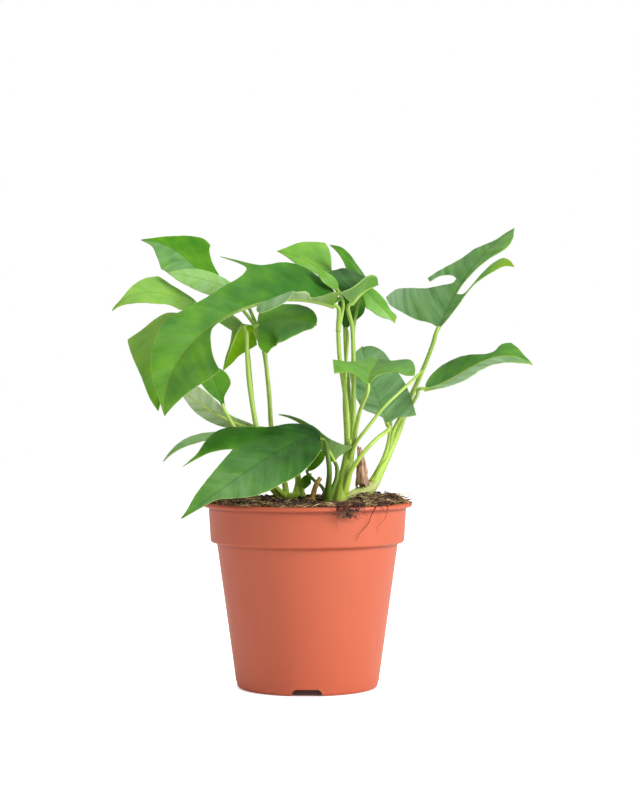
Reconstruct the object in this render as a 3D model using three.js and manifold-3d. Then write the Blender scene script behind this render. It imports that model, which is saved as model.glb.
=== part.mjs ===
// Mini monstera (Rhaphidophora tetrasperma) in a 12 cm nursery pot.
// Millimetres, +Z up, the front faces -Y. The origin is the centre of the pot's flat underside.
// Needs the npm packages three and manifold-3d. The default export is a THREE.Group of named meshes.
import * as THREE from "three";
import { TessellateModifier } from "three/addons/modifiers/TessellateModifier.js";
import { mergeGeometries, mergeVertices } from "three/addons/utils/BufferGeometryUtils.js";
import Module from "manifold-3d";

// ---- Driving dimensions ----------------------------------------------------------------------
const POT_HEIGHT = 105.5;
const LIP_RADIUS = 60; // outside of the rolled lip
const LIP_DEPTH = 2.3;
const COLLAR_TOP_RADIUS = 56.6; // outside, just under the lip
const COLLAR_FOOT_RADIUS = 55.5;
const COLLAR_HEIGHT = 22.5; // from the rim down to the step
const BODY_TOP_RADIUS = 51.8; // outside, just under the step
const BASE_RADIUS = 40.7; // outside, above the rounded bottom corner
const WALL = 1.2; // injection moulded sheet
const FOOT_WIDTH = 3.4; // ring that the pot stands on
const CHANNEL_HEIGHT = 3.8; // height of the drain channel inside the foot ring
const CENTRE_PAD_RADIUS = 17; // flat disc in the middle that stands on the table too
const NOTCH_WIDTH = 18;
const NOTCH_COUNT = 4;
const DRAIN_HOLE_RADIUS = 3.2;
const DRAIN_HOLE_COUNT = 8;
const POT_SIDES = 40;

const FIT_GAP = 0.3; // between soil and pot, stems and soil, petioles and blades
const SOIL_HEIGHT = 104.6; // where the soil meets the wall
const SOIL_DOME = 2; // how much higher the middle is
const SOIL_SLOPE = 0.7; // extra height at the back, as much less at the front
const SOIL_RELIEF = 1.2; // height of the lumps
const SOIL_HEAP = 3.8; // extra height against the wall at the right

const BLADE_THICKNESS = 0.7;
const STEM_SIDES = 6;
const JOINT_LENGTH = 3; // straight end of a petiole that lines up with the midrib

// ---- Materials -------------------------------------------------------------------------------
const finishes = {
  pot: { color: "#d66b4e", roughness: 0.45 },
  soil: { color: "#3a2a20", roughness: 0.95 },
  stem: { color: "#94c246", roughness: 0.4 },
  leaf: { color: "#3f8a35", roughness: 0.35 },
  sheath: { color: "#8a6a4c", roughness: 0.8 },
  peg: { color: "#a8883c", roughness: 0.7 },
};

// ---- Booleans --------------------------------------------------------------------------------
const wasm = await Module();
wasm.setup();

function toSolid(geometry) {
  const bare = new THREE.BufferGeometry();
  bare.setAttribute("position", geometry.getAttribute("position"));
  bare.setIndex(geometry.index);
  const merged = mergeVertices(bare, 1e-3);
  return new wasm.Manifold(
    new wasm.Mesh({
      numProp: 3,
      vertProperties: merged.attributes.position.array,
      triVerts: new Uint32Array(merged.index.array),
    }),
  );
}

function toGeometry(solid) {
  const mesh = solid.getMesh();
  const geometry = new THREE.BufferGeometry();
  geometry.setAttribute("position", new THREE.BufferAttribute(mesh.vertProperties, 3));
  geometry.setIndex(new THREE.BufferAttribute(mesh.triVerts, 1));
  geometry.computeVertexNormals();
  return geometry;
}

function join(geometries) {
  return geometries.map(toSolid).reduce((whole, piece) => whole.add(piece));
}

// ---- Shared shapes ---------------------------------------------------------------------------
// A round, tapered, closed tube along a smooth curve through the points. radii are spread evenly along it.
function tube(points, radii, steps = points.length + 1) {
  const curve = new THREE.CatmullRomCurve3(points);
  const frames = curve.computeFrenetFrames(steps, false);
  const geometry = new THREE.CylinderGeometry(1, 1, 1, STEM_SIDES, steps);
  const position = geometry.attributes.position;
  const radiusAt = (t) => {
    const place = t * (radii.length - 1);
    const i = Math.min(Math.floor(place), radii.length - 2);
    return THREE.MathUtils.lerp(radii[i], radii[i + 1], place - i);
  };
  for (let i = 0; i < position.count; i++) {
    const t = THREE.MathUtils.clamp(position.getY(i) + 0.5, 0, 1);
    const step = Math.round(t * steps);
    const place = curve.getPointAt(t);
    place.addScaledVector(frames.normals[step], position.getZ(i) * radiusAt(t));
    place.addScaledVector(frames.binormals[step], position.getX(i) * radiusAt(t));
    position.setXYZ(i, place.x, place.y, place.z);
  }
  return geometry;
}

const vector = (p) => new THREE.Vector3(...p);

// ---- Pot: one lathe-turned shell, with notches cut in its foot and drain holes in its floor --------
function potProfile() {
  const collarFoot = POT_HEIGHT - COLLAR_HEIGHT;
  const lipFoot = POT_HEIGHT - LIP_DEPTH;
  const floor = CHANNEL_HEIGHT + WALL;
  const outer = [
    [0, 0],
    [CENTRE_PAD_RADIUS, 0],
    [CENTRE_PAD_RADIUS + 2, CHANNEL_HEIGHT],
    [BASE_RADIUS - FOOT_WIDTH - 1.4, CHANNEL_HEIGHT],
    [BASE_RADIUS - FOOT_WIDTH - 0.8, 0],
    [BASE_RADIUS - 1.2, 0],
    [BASE_RADIUS, 1.4],
    [BODY_TOP_RADIUS, collarFoot - 1.4],
    [BODY_TOP_RADIUS + 1, collarFoot - 0.6],
    [COLLAR_FOOT_RADIUS - 0.6, collarFoot],
    [COLLAR_FOOT_RADIUS, collarFoot + 0.8],
    [COLLAR_TOP_RADIUS, lipFoot - 0.5],
    [LIP_RADIUS - 0.5, lipFoot],
    [LIP_RADIUS, lipFoot + 0.7],
    [LIP_RADIUS - 0.2, POT_HEIGHT - 0.4],
    [LIP_RADIUS - 0.8, POT_HEIGHT],
  ];
  const inner = [
    [COLLAR_TOP_RADIUS - WALL + 0.4, POT_HEIGHT],
    [COLLAR_FOOT_RADIUS - WALL, collarFoot + 1.8],
    [BODY_TOP_RADIUS - WALL, collarFoot + 0.2],
    [BASE_RADIUS - WALL + 0.4, floor],
    [CENTRE_PAD_RADIUS + 1.2, floor],
    [CENTRE_PAD_RADIUS - 0.8, WALL],
    [0, WALL],
  ];
  return { outer, inner };
}

function makePot() {
  const { outer, inner } = potProfile();
  const points = [...outer, ...inner].map(([r, z]) => new THREE.Vector2(r, z));
  const shell = new THREE.LatheGeometry(points, POT_SIDES).rotateX(Math.PI / 2);
  let pot = toSolid(shell);
  const notchShape = new THREE.Shape();
  notchShape.moveTo(-NOTCH_WIDTH / 2, -1);
  notchShape.lineTo(NOTCH_WIDTH / 2, -1);
  notchShape.lineTo(NOTCH_WIDTH / 2 - 1, CHANNEL_HEIGHT - 1.4);
  notchShape.lineTo(NOTCH_WIDTH / 2 - 2.6, CHANNEL_HEIGHT - 0.05);
  notchShape.lineTo(-NOTCH_WIDTH / 2 + 2.6, CHANNEL_HEIGHT - 0.05);
  notchShape.lineTo(-NOTCH_WIDTH / 2 + 1, CHANNEL_HEIGHT - 1.4);
  const cutDepth = FOOT_WIDTH + 4;
  for (let i = 0; i < NOTCH_COUNT; i++) {
    const notch = new THREE.ExtrudeGeometry(notchShape, { depth: cutDepth, bevelEnabled: false });
    notch.rotateX(Math.PI / 2).translate(0, -(BASE_RADIUS - FOOT_WIDTH - 2), 0);
    notch.rotateZ((i * 2 * Math.PI) / NOTCH_COUNT);
    pot = pot.subtract(toSolid(notch));
  }
  const holeCircle = (CENTRE_PAD_RADIUS + BASE_RADIUS - FOOT_WIDTH) / 2;
  for (let i = 0; i < DRAIN_HOLE_COUNT; i++) {
    const angle = ((i + 0.5) * 2 * Math.PI) / DRAIN_HOLE_COUNT;
    const hole = new THREE.CylinderGeometry(DRAIN_HOLE_RADIUS, DRAIN_HOLE_RADIUS, 8, 10).rotateX(Math.PI / 2);
    hole.translate(holeCircle * Math.cos(angle), holeCircle * Math.sin(angle), CHANNEL_HEIGHT);
    pot = pot.subtract(toSolid(hole));
  }
  return toGeometry(pot);
}

// ---- Cuttings: fleshy stems rooted in the soil, each with its petioles grown from it ---------------
// A petiole that ends in a blade names it, and its last points come from that blade's midrib.
const STOUT = [1.9, 1.6, 1.35, 1.1];
const SLIM = [1.5, 1.3, 1.15, 1.0];
const THIN = [1.1, 1.0, 0.9, 0.8];

const cuttings = [
  {
    name: "stem_centre",
    crowns: [
      {
        path: [[18, -13, 93], [18, -13, 103], [19.5, -11.5, 112], [23, -8, 128], [23.8, -5.5, 142]],
        radii: [4, 4, 4, 3.4, 2],
      },
      {
        path: [[19, -12, 104], [25, -6, 108.5], [31, -3, 111], [37, -1, 114.5], [40, 0, 119]],
        radii: [3, 3.4, 3.8, 3.6, 2.4],
      },
    ],
    petioles: [
      {
        blade: "leaf_arching",
        radii: STOUT,
        path: [
          [19, -13, 108], [22, -10, 124], [23, -5, 141], [22, -3, 164], [18.5, -5, 188], [17.5, -9, 205],
        ],
      },
      {
        blade: "leaf_cupped",
        radii: STOUT,
        path: [
          [20, -11, 110], [24.5, -6, 128], [26.5, 0, 152], [26.5, 1, 164], [26.5, 2, 188],
          [25.5, 0, 207],
        ],
      },
      {
        blade: "leaf_level",
        radii: SLIM,
        path: [[22, -9, 124], [25.5, -9, 134], [27, -13, 144], [29.5, -21, 157]],
      },
      {
        blade: "leaf_shaded",
        radii: SLIM,
        path: [[20, -13, 108], [24, -15, 122], [31, -14, 133], [39.5, -9, 142]],
      },
      {
        blade: "leaf_top_right",
        radii: [2.6, 1.9, 1.4, 1.1],
        path: [
          [38, 0, 116], [42.5, 4, 124], [48, 10.5, 135], [52.5, 15, 145], [56, 20, 154], [60, 22, 165],
          [67, 18, 181], [72.5, 12, 196],
        ],
      },
      {
        blade: "leaf_right",
        radii: SLIM,
        path: [
          [37, -1, 115], [41, 1, 123], [46.5, 8, 132], [50, 14, 146], [55, 18.5, 155], [60.5, 19, 161],
          [63.5, 13, 166.5],
        ],
      },
      {
        blade: "leaf_rear",
        radii: SLIM,
        path: [
          [35, -1, 114], [39.5, 2, 122], [44.5, 7, 131.5], [47.3, 12, 141], [48.2, 17, 152],
          [47, 22, 162],
        ],
      },
      {
        blade: "leaf_curved_tip",
        radii: SLIM,
        path: [[22, -8, 122], [22.5, 8, 141], [21.5, 13, 164], [22.5, 14, 187]],
      },
      {
        blade: "leaf_top_light",
        radii: SLIM,
        path: [[22, -8, 122], [24, 14, 146], [24, 26, 170], [22.5, 32, 190], [21.5, 32, 212]],
      },
      {
        blade: "leaf_tiny",
        radii: THIN,
        path: [[17.5, -9, 203], [19.5, -5, 212], [20.5, -5, 219]],
      },
      {
        blade: "leaf_bent_right",
        radii: THIN,
        path: [[26.5, 3, 180], [26.3, 7, 194], [26.8, 9, 206], [29.5, 10.5, 220]],
      },
      {
        radii: THIN,
        path: [
          [23, -9, 128], [28.5, -14, 141], [33, -16, 147], [43.5, -15, 160], [52.5, -9, 168.5],
          [61, 0, 176], [67, 8.5, 181.5],
        ],
      },
    ],
  },
  {
    name: "stem_left",
    crowns: [
      { path: [[-13.5, 5, 95], [-13.5, 5, 103], [-13, 5, 110.5]], radii: [3.6, 3.8, 3.2] },
      { path: [[-14, 4.5, 107], [-8, 2, 108.5], [-1, 0, 110]], radii: [2.6, 2.6, 1.4] },
    ],
    petioles: [
      {
        blade: "leaf_small_hanging",
        radii: STOUT,
        path: [
          [-15, 4, 108], [-23, 3, 117], [-27, 1, 132], [-29, -1, 146], [-31.5, -1, 161],
          [-33.5, -1.5, 175], [-34.5, -3, 190], [-34.8, -5, 202],
        ],
      },
      {
        blade: "leaf_sheltered",
        radii: SLIM,
        path: [
          [-12, 5, 108], [-13.5, 8, 118], [-18.5, 11, 132], [-21, 13, 148], [-22, 14, 164],
          [-23.5, 14, 180], [-25.5, 14, 193],
        ],
      },
      {
        blade: "leaf_far_left",
        radii: SLIM,
        path: [
          [-15, 4, 108], [-23.5, 14, 117], [-27, 19, 132], [-29.5, 21, 146], [-32, 22, 161],
          [-34, 22, 177], [-35.5, 22, 196], [-39.5, 20, 209], [-50, 15, 215],
        ],
      },
      {
        blade: "leaf_hanging_left",
        radii: SLIM,
        path: [
          [-15, 4, 108], [-23, 20, 116], [-27.5, 30, 131], [-30, 33, 145], [-32.5, 34, 161],
          [-34, 34, 177], [-36, 33, 196], [-39.5, 30, 208], [-51, 20, 213],
        ],
      },
      {
        blade: "leaf_upper_left",
        radii: SLIM,
        path: [
          [-12, 5, 108], [-14, 16, 117], [-18.5, 24, 132], [-21.5, 27, 148], [-22.5, 28, 164],
          [-24, 28, 180], [-26, 28, 193], [-29, 26, 205],
        ],
      },
      {
        blade: "leaf_top_left",
        radii: SLIM,
        path: [
          [-12, 5, 108], [-14, 24, 117], [-19, 36, 131], [-22, 40, 148], [-23, 42, 164],
          [-24.5, 42, 180], [-26, 42, 194], [-31, 41, 207], [-42.5, 38, 222],
        ],
      },
      {
        blade: "leaf_small_left",
        radii: SLIM,
        path: [[-12, 3, 108], [-21.5, -4, 118], [-33.5, -3, 137], [-41.5, -3.5, 148]],
      },
      {
        blade: "leaf_low_left",
        radii: SLIM,
        path: [[-6, 1.5, 108.5], [-5, 5, 119], [-10, 5, 132]],
      },
      {
        blade: "leaf_narrow_left",
        radii: SLIM,
        path: [[-7, 1.8, 108.5], [-6, 9, 119], [-13, 14, 132], [-26.5, 15, 140]],
      },
      {
        blade: "leaf_young_left",
        radii: THIN,
        path: [[-4, 1, 109], [-2.8, -0.5, 110.5]],
      },
    ],
  },
  {
    name: "stem_front",
    crowns: [{ path: [[11, -18, 95], [11, -18, 103], [12, -18, 110]], radii: [2.6, 2.8, 2.5] }],
    petioles: [
      {
        blade: "leaf_front",
        radii: STOUT,
        path: [[11.5, -18, 107.5], [12, -22, 116], [12.5, -26, 124], [11.5, -26, 133]],
      },
      {
        blade: "leaf_slanting",
        radii: SLIM,
        path: [[12, -18, 108], [14.5, -18, 114], [16.8, -17, 121]],
      },
      {
        blade: "leaf_young_front",
        radii: THIN,
        path: [[11.5, -18, 109.5], [8, -10, 115], [3.5, -4, 118.5]],
      },
    ],
  },
];

function makeCutting(cutting) {
  const crowns = cutting.crowns.map((crown) => tube(crown.path.map(vector), crown.radii));
  const petioles = cutting.petioles.map(({ blade, path, radii }) => {
    const points = path.map(vector);
    if (blade) points.push(...petioleEnd(leafByName.get(blade)));
    return tube(points, radii);
  });
  return toGeometry(join([...crowns, ...petioles]));
}

// ---- Soil: the root ball, with a lumpy top and a plain hole around every crown ---------------------
function soilTop(x, y) {
  const lumps =
    Math.sin(0.31 * x + 0.8) * Math.cos(0.27 * y - 0.4) +
    0.6 * Math.sin(0.63 * x - 0.52 * y + 2.1) +
    0.4 * Math.cos(0.9 * x + 0.71 * y);
  const heap = SOIL_HEAP * Math.exp(-((x - 50) ** 2 + (y - 10) ** 2) / 450);
  const share = Math.hypot(x, y) / COLLAR_TOP_RADIUS;
  const inside = 1 - share ** 4;
  const dome = SOIL_DOME + (SOIL_RELIEF * lumps) / 2;
  return SOIL_HEIGHT + inside * dome + heap + (SOIL_SLOPE * y) / COLLAR_TOP_RADIUS;
}

// The tube of a stem, a gap wider all round and a gap deeper.
function rootHole(path, radii) {
  const wider = tube(path.map(vector), radii.map((radius) => radius + FIT_GAP + 0.1));
  return toSolid(wider).add(toSolid(wider).translate(0, 0, -FIT_GAP));
}

function makeSoil() {
  const { inner } = potProfile();
  const wall = inner.slice(0, 4).map(([r, z]) => [r - FIT_GAP, z]);
  wall[0][1] = SOIL_HEIGHT;
  wall[3][1] += FIT_GAP;
  const topRings = [0.88, 0.72, 0.55, 0.36, 0.18].map((share) => [share * wall[0][0], SOIL_HEIGHT]);
  const profile = [
    [0, WALL + FIT_GAP],
    [CENTRE_PAD_RADIUS - 1, WALL + FIT_GAP],
    [CENTRE_PAD_RADIUS + 0.9, CHANNEL_HEIGHT + WALL + FIT_GAP],
    ...wall.reverse(),
    ...topRings,
    [0, SOIL_HEIGHT],
  ];
  const points = profile.map(([r, z]) => new THREE.Vector2(r, z));
  const body = new THREE.LatheGeometry(points, POT_SIDES).rotateX(Math.PI / 2);
  const position = body.attributes.position;
  for (let i = 0; i < position.count; i++) {
    if (Math.abs(position.getZ(i) - SOIL_HEIGHT) > 1e-3) continue;
    position.setZ(i, soilTop(position.getX(i), position.getY(i)));
  }
  let soil = toSolid(body);
  for (const { crowns } of cuttings) {
    for (const { path, radii } of crowns) {
      soil = soil.subtract(rootHole(path, radii));
    }
  }
  return toGeometry(soil.subtract(rootHole(peg.path, peg.radii)));
}

// ---- Leaf blades -----------------------------------------------------------------------------
// spine: control points of the midrib's Bezier curve, from the petiole to the tip.
// face: the way the upper side looks at the base and at the tip.
// fold: how far each half rises above the blade's plane, [at the base, at the tip].
// droop: how far each margin bends back down.
// left, right: the outline of each half of the flat blade, [mm along the midrib, mm out from it].
const leaves = [
  {
    name: "leaf_arching",
    spine: [[14.6, -15, 217.5], [-27, -25, 232], [-80, -67, 198], [-76.6, -64, 155.9]],
    face: [[0.1, -0.45, 0.89], [-0.31, -0.94, 0.1]],
    fold: { left: [1.5, -0.1], right: [0.35, 0.25] },
    droop: { left: 0.1, right: 0.05 },
    left: [
      [1.5, 8.5], [5, 7.5], [10, 3.5], [14.5, 1.8], [17.5, 4.8], [21.5, 7], [29, 8.8], [40.5, 26],
      [48.5, 30.5], [52, 29], [57, 26], [60.5, 23], [60, 18], [52.5, 8.5], [50, 4], [54, 2],
      [66, 1.8], [74, 1.2], [80.5, 3], [91, 12], [98.5, 19.5], [103.5, 26], [113.5, 21],
      [124, 12.5], [132, 6],
    ],
    right: [
      [-4, 6.5], [4.5, 16.5], [13, 26], [21, 28.5], [33.5, 25.5], [44, 33], [49, 37.5], [42.5, 29],
      [41, 25.5], [43.5, 22], [49.5, 19], [58.5, 17], [67.5, 15.5], [80, 16], [92.5, 19], [102, 17.5],
      [113, 13], [121, 8.5], [130.5, 3],
    ],
  },
  {
    name: "leaf_front",
    spine: [[7.2, -20, 142], [-5, -29, 147], [-38, -50, 121], [-68, -56, 99.7]],
    face: [[-0.2, -0.61, 0.76], [-0.3, -0.81, 0.51]],
    fold: { left: [0.1, 0.1], right: [0.1, 0.1] },
    droop: { left: 0.1, right: 0.1 },
    left: [
      [2, 6], [7, 12.5], [17, 19], [25, 22], [35, 23.5], [44, 21.5], [51, 20.5], [60, 16.5], [68, 10],
      [75, 4], [85, 2],
    ],
    right: [
      [-4, 8], [0, 14], [6.5, 18.5], [19, 22.5], [28, 32.5], [33.5, 42], [39.5, 45], [48, 42.5],
      [63, 33.5], [75, 30.5], [65.5, 30], [57.5, 29], [50.5, 25], [45.5, 20], [50.5, 18], [60, 15],
      [71.5, 11], [82, 7], [91.5, 2],
    ],
  },
  {
    name: "leaf_hanging_left",
    spine: [[-70.1, 6, 214.8], [-84, 7, 208], [-85, -11, 178], [-84.9, -10, 158.3]],
    face: [[-0.41, -0.51, 0.76], [-0.4, -0.91, 0.1]],
    fold: { left: [0.1, 0.1], right: [0.1, 0.1] },
    droop: { left: 0.08, right: 0.08 },
    left: [[3, 6], [9, 12], [18, 16], [30, 15], [42, 10], [53, 4]],
    right: [
      [3, 2.5], [6.5, 12], [9.5, 15.5], [16.5, 22], [21, 28.5], [28, 22.5], [42, 12.5], [57.5, 4.5],
    ],
  },
  {
    name: "leaf_far_left",
    spine: [[-63.3, 8, 217.2], [-80, 6, 227], [-99, -11, 230], [-109.9, -16, 214.9]],
    face: [[0, -0.6, 0.8], [-0.3, -0.51, 0.81]],
    fold: { left: [0, 0], right: [0.25, 0.25] },
    droop: { left: 0.08, right: 0.08 },
    left: [[5, 6], [12, 10.5], [20.5, 11.5], [34.5, 14.5], [46.5, 9.5], [53.5, 2.5]],
    right: [[3, 3.5], [9.5, 6], [16.5, 9.5], [22, 16], [28.5, 14], [36.5, 9], [48, 2]],
  },
  {
    name: "leaf_upper_left",
    spine: [[-41.7, 16, 226.9], [-55, 15, 233], [-67, 11, 236], [-79.8, 4, 237.1]],
    face: [[0.1, -0.6, 0.8], [-0.1, -0.6, 0.8]],
    fold: { left: [-0.1, -0.1], right: [0.1, 0.1] },
    droop: { left: 0.08, right: 0.08 },
    left: [[1.5, 8.5], [8, 11], [15.5, 11], [28.5, 10], [37.5, 6]],
    right: [[5, 5.5], [12, 8], [19.5, 9], [26.5, 8], [34, 4.5]],
  },
  {
    name: "leaf_top_left",
    spine: [[-55.5, 34, 233.2], [-70, 36, 241], [-73, 32, 256], [-97, 22, 257.6]],
    face: [[0.25, -0.6, 0.76], [0.1, -0.7, 0.7]],
    fold: { left: [0.05, 0.05], right: [0.15, 0.15] },
    droop: { left: 0.08, right: 0.08 },
    left: [[3.5, 9.5], [10, 13.5], [27, 20.5], [40.5, 22], [44, 12.5], [46, 4.5]],
    right: [
      [0.5, 7.5], [6, 11], [10.5, 13.5], [15, 18.5], [16.5, 24], [20, 24.5], [25, 19.5], [34.5, 9.5],
      [44.5, 3],
    ],
  },
  {
    name: "leaf_small_hanging",
    spine: [[-36.2, 0, 206], [-37, 4, 211.5], [-42, 9, 204], [-48.5, 9, 181.6]],
    face: [[-0.1, 0.5, 0.85], [-0.31, 0.88, 0.36]],
    fold: { left: [0.45, 0.1], right: [0.1, 0.1] },
    droop: { left: 0.08, right: 0.08 },
    left: [
      [2.5, 3], [4, 6.5], [5, 9], [6.5, 11], [9.5, 12], [9.8, 10], [10.2, 7.5], [11, 2.8],
      [18, 1.2], [27.5, 1],
    ],
    right: [[2, 3], [4, 7], [6.5, 10], [10, 12.5], [14.5, 15.5], [19, 11.5], [23.5, 7], [29, 4]],
  },
  {
    name: "leaf_sheltered",
    spine: [[-28.8, 12, 206.9], [-19, 16, 211], [-8, 12, 212], [4.9, 6, 207.3]],
    face: [[0.2, -0.2, 0.96], [0.41, -0.41, 0.82]],
    fold: { left: [0.3, 0.3], right: [-0.2, -0.2] },
    droop: { left: 0.08, right: 0.1 },
    left: [[2, 5], [6.5, 16], [11, 21], [17, 22], [23, 18.5], [33, 6.5]],
    right: [
      [-3.5, 5.5], [-6, 10.5], [-9, 16.5], [-9, 20.5], [-7.5, 24], [-3, 21.5], [2, 21], [7, 22],
      [13, 24], [18.5, 25.5], [26.5, 23.5], [29.5, 19], [32, 14.5], [34.5, 9], [36.5, 5.5],
    ],
  },
  {
    name: "leaf_small_left",
    spine: [[-48.4, -6, 161.2], [-51, -6, 168], [-53, -6, 176], [-57.5, -6, 185.6]],
    face: [[0, -0.85, 0.53], [0, -0.91, 0.41]],
    fold: { left: [0.1, 0.1], right: [0.1, 0.1] },
    droop: { left: 0, right: 0 },
    left: [[2, 1], [7.5, 4.5], [14.5, 7.5], [20.5, 8], [24.5, 4.5]],
    right: [[-1, 1], [4, 2.5], [8, 6.5], [10.5, 8.5], [14.5, 8.5], [18, 7], [22, 3.5]],
  },
  {
    name: "leaf_low_left",
    spine: [[-27.9, 4, 147.9], [-43, 4, 150], [-59, -3, 159], [-73.8, -6, 171.4]],
    face: [[0.1, 0.62, 0.78], [0, 0.6, 0.8]],
    fold: { left: [0.1, 0.1], right: [0.1, 0.1] },
    droop: { left: 0, right: 0 },
    left: [[4.5, 2], [9, 3], [21, 4], [33, 8.5], [43.5, 9.5], [49, 6.5]],
    right: [[4, 2.5], [10, 5.5], [17.5, 9], [25, 10.5], [35, 9.5], [44, 5.5]],
  },
  {
    name: "leaf_narrow_left",
    spine: [[-43.3, 12, 144.3], [-56, 10, 143], [-71, 0, 144], [-82.2, -2, 129.1]],
    face: [[0, -0.15, 0.99], [-0.2, -0.15, 0.97]],
    fold: { left: [0, 0], right: [0.1, 0.1] },
    droop: { left: 0.08, right: 0.08 },
    left: [[4, 5], [11, 9], [19, 9], [27, 8], [37, 4]],
    right: [[4, 6], [11, 9], [19, 8.5], [27, 6.5], [37, 3]],
  },
  {
    name: "leaf_slanting",
    spine: [[15.3, -14.5, 129.3], [10, -12, 140], [0, 0, 153], [-16.3, 12, 155.4]],
    face: [[0, 0.99, 0.1], [0, 0.35, 0.94]],
    fold: { left: [0, 0.1], right: [1.4, 0.2] },
    droop: { left: 0.08, right: 0.08 },
    left: [
      [1, 3], [1.4, 6], [1.6, 10], [2.1, 13.3], [4.4, 10.2], [6, 8.4], [12.5, 4.5], [22, 3], [34, 3],
      [45, 2],
    ],
    right: [[1, 1.5], [6, 3.5], [14, 5], [26, 5], [38, 4]],
  },
  {
    name: "leaf_cupped",
    spine: [[25.2, -4, 219.5], [30, -5, 225], [33, 4, 228], [40.8, 12, 230.7]],
    face: [[-0.35, 0, 0.94], [-0.35, 0, 0.94]],
    fold: { left: [1.1, 1.1], right: [0.9, 0.9] },
    droop: { left: 0.15, right: 0.15 },
    left: [[2, 6], [12, 19], [17.5, 18], [23.5, 17], [25.5, 12.5], [25, 9], [26.5, 5]],
    right: [[0.5, 9.5], [1.5, 9], [3, 8], [6.5, 8], [10.5, 8.5], [22.5, 4.5]],
  },
  {
    name: "leaf_level",
    spine: [[34, -30, 172.4], [34, -25, 180], [39, -10, 183], [41.2, 4, 187.6]],
    face: [[0.05, -0.2, 0.98], [0, -0.2, 0.98]],
    fold: { left: [0.3, 0.3], right: [0.3, 0.3] },
    droop: { left: 0.08, right: 0.08 },
    left: [[4, 6], [6, 11], [3, 19], [15, 22.5], [16.5, 15], [23, 9.5], [35.5, 5]],
    right: [[7, 5.5], [8.5, 13.5], [4.5, 21.5], [4.5, 26], [11.5, 25.5], [25.5, 19], [28, 8.5]],
  },
  {
    name: "leaf_shaded",
    spine: [[46, 2, 150.2], [41, 12, 165], [35, 23, 176], [31.8, 24, 195.1]],
    face: [[0.2, -0.84, 0.5], [0.1, -0.8, 0.6]],
    fold: { left: [0.05, 0.05], right: [0.1, 0.1] },
    droop: { left: 0.08, right: 0.08 },
    left: [[4.5, 1], [8, 5], [13, 10.5], [20, 12], [31, 12], [41.5, 10], [50, 5]],
    right: [
      [0, 1], [3, 7], [2.5, 12.5], [3, 18.5], [14.5, 19.5], [25, 19.5], [36.5, 16.5], [47.5, 12.5],
      [52.5, 6],
    ],
  },
  {
    name: "leaf_top_right",
    spine: [[75.8, 10, 206], [85, 14, 226], [94, 18, 245], [120.7, 22, 264.1]],
    face: [[-0.3, -0.81, 0.51], [-0.51, -0.61, 0.61]],
    fold: { left: [0.1, 0.1], right: [0.15, 0.15] },
    droop: { left: 0.08, right: 0.08 },
    left: [
      [1, 5.5], [0.5, 14.5], [2.5, 27], [5, 37], [9, 43], [14.5, 39.5], [17, 31.5], [20, 19],
      [25.5, 8.5], [28, 5], [31, 4.5], [32, 8], [29, 15.5], [24, 19.5], [25.5, 22.5], [29.5, 20],
      [35, 16], [44.5, 10.5], [51.5, 8.5], [56.5, 5.5], [63.5, 2], [69, 1.5],
    ],
    right: [
      [3.5, 2.5], [15, 6], [28, 8.5], [34.5, 10.5], [45.5, 16.5], [51, 20], [54, 27], [56, 21.5],
      [55.5, 15.5], [51.5, 12.5], [43, 10], [36.5, 9], [24, 6], [22.5, 1], [29.5, 1.5], [42.5, 4],
      [50.5, 6.5], [63, 11], [70, 7.5],
    ],
  },
  {
    name: "leaf_right",
    spine: [[67.6, 2, 170.6], [86, 1, 172], [105, -3, 200], [127.7, -10, 184.2]],
    face: [[-0.2, -0.5, 0.84], [0.41, -0.51, 0.76]],
    fold: { left: [0.1, 0.1], right: [0.35, 0.35] },
    droop: { left: 0.08, right: 0.08 },
    left: [
      [1, 5.5], [5.5, 12.5], [13.5, 16], [23.5, 14.5], [32, 10.5], [39, 6], [43.5, 6], [47.5, 14],
      [51, 16], [55, 11], [59.5, 5],
    ],
    right: [[3.5, 3.5], [9, 8], [17.5, 12], [27, 14.5], [36, 13], [43.5, 13.5], [51.5, 17], [62, 15.5]],
  },
  {
    name: "leaf_rear",
    spine: [[45.2, 28, 169.9], [44.5, 38, 176], [43.6, 50, 177], [43.6, 60, 172]],
    face: [[0.1, 0.1, 0.99], [0.19, 0.19, 0.96]],
    fold: { left: [0.15, 0.15], right: [0.15, 0.15] },
    droop: { left: 0.1, right: 0.1 },
    left: [[1, 5], [4, 11], [10, 13], [19, 11], [27, 5]],
    right: [[1, 5], [4, 11], [10, 13], [19, 11], [27, 5]],
  },
  {
    name: "leaf_top_light",
    spine: [[17.7, 29, 230.6], [5, 30, 244], [-4, 31, 248.6], [-17.5, 33, 252]],
    face: [[0.2, -0.5, 0.84], [0.2, -0.5, 0.84]],
    fold: { left: [0.1, 0.1], right: [0.1, 0.1] },
    droop: { left: 0.08, right: 0.08 },
    left: [[2, 3.5], [7.5, 4.5], [17.5, 7], [27, 9.5], [36, 4.5]],
    right: [[4, 3.5], [9.5, 7.5], [14.5, 16.5], [19.5, 27], [24, 34], [29, 26], [34, 17.5], [38, 8]],
  },
  {
    name: "leaf_tiny",
    spine: [[17.2, -8, 226.7], [13, -7, 231], [10, -10, 235], [6.3, -6, 238.5]],
    face: [[0.31, -0.72, 0.62], [0.31, -0.72, 0.62]],
    fold: { left: [0, 0], right: [0, 0] },
    droop: { left: 0, right: 0 },
    left: [[4, 3], [9.5, 4.5], [13.5, 3]],
    right: [[2.5, 3.5], [6.5, 4.5], [12.5, 2.5]],
  },
  {
    name: "leaf_curved_tip",
    spine: [[22.3, 15, 205.4], [19, 22, 218], [52, 34, 227.6], [13.6, 26, 254.8]],
    face: [[0.21, -0.83, 0.52], [0.21, -0.64, 0.74]],
    fold: { left: [0.1, 0.1], right: [0.1, 0.1] },
    droop: { left: 0, right: 0 },
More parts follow.
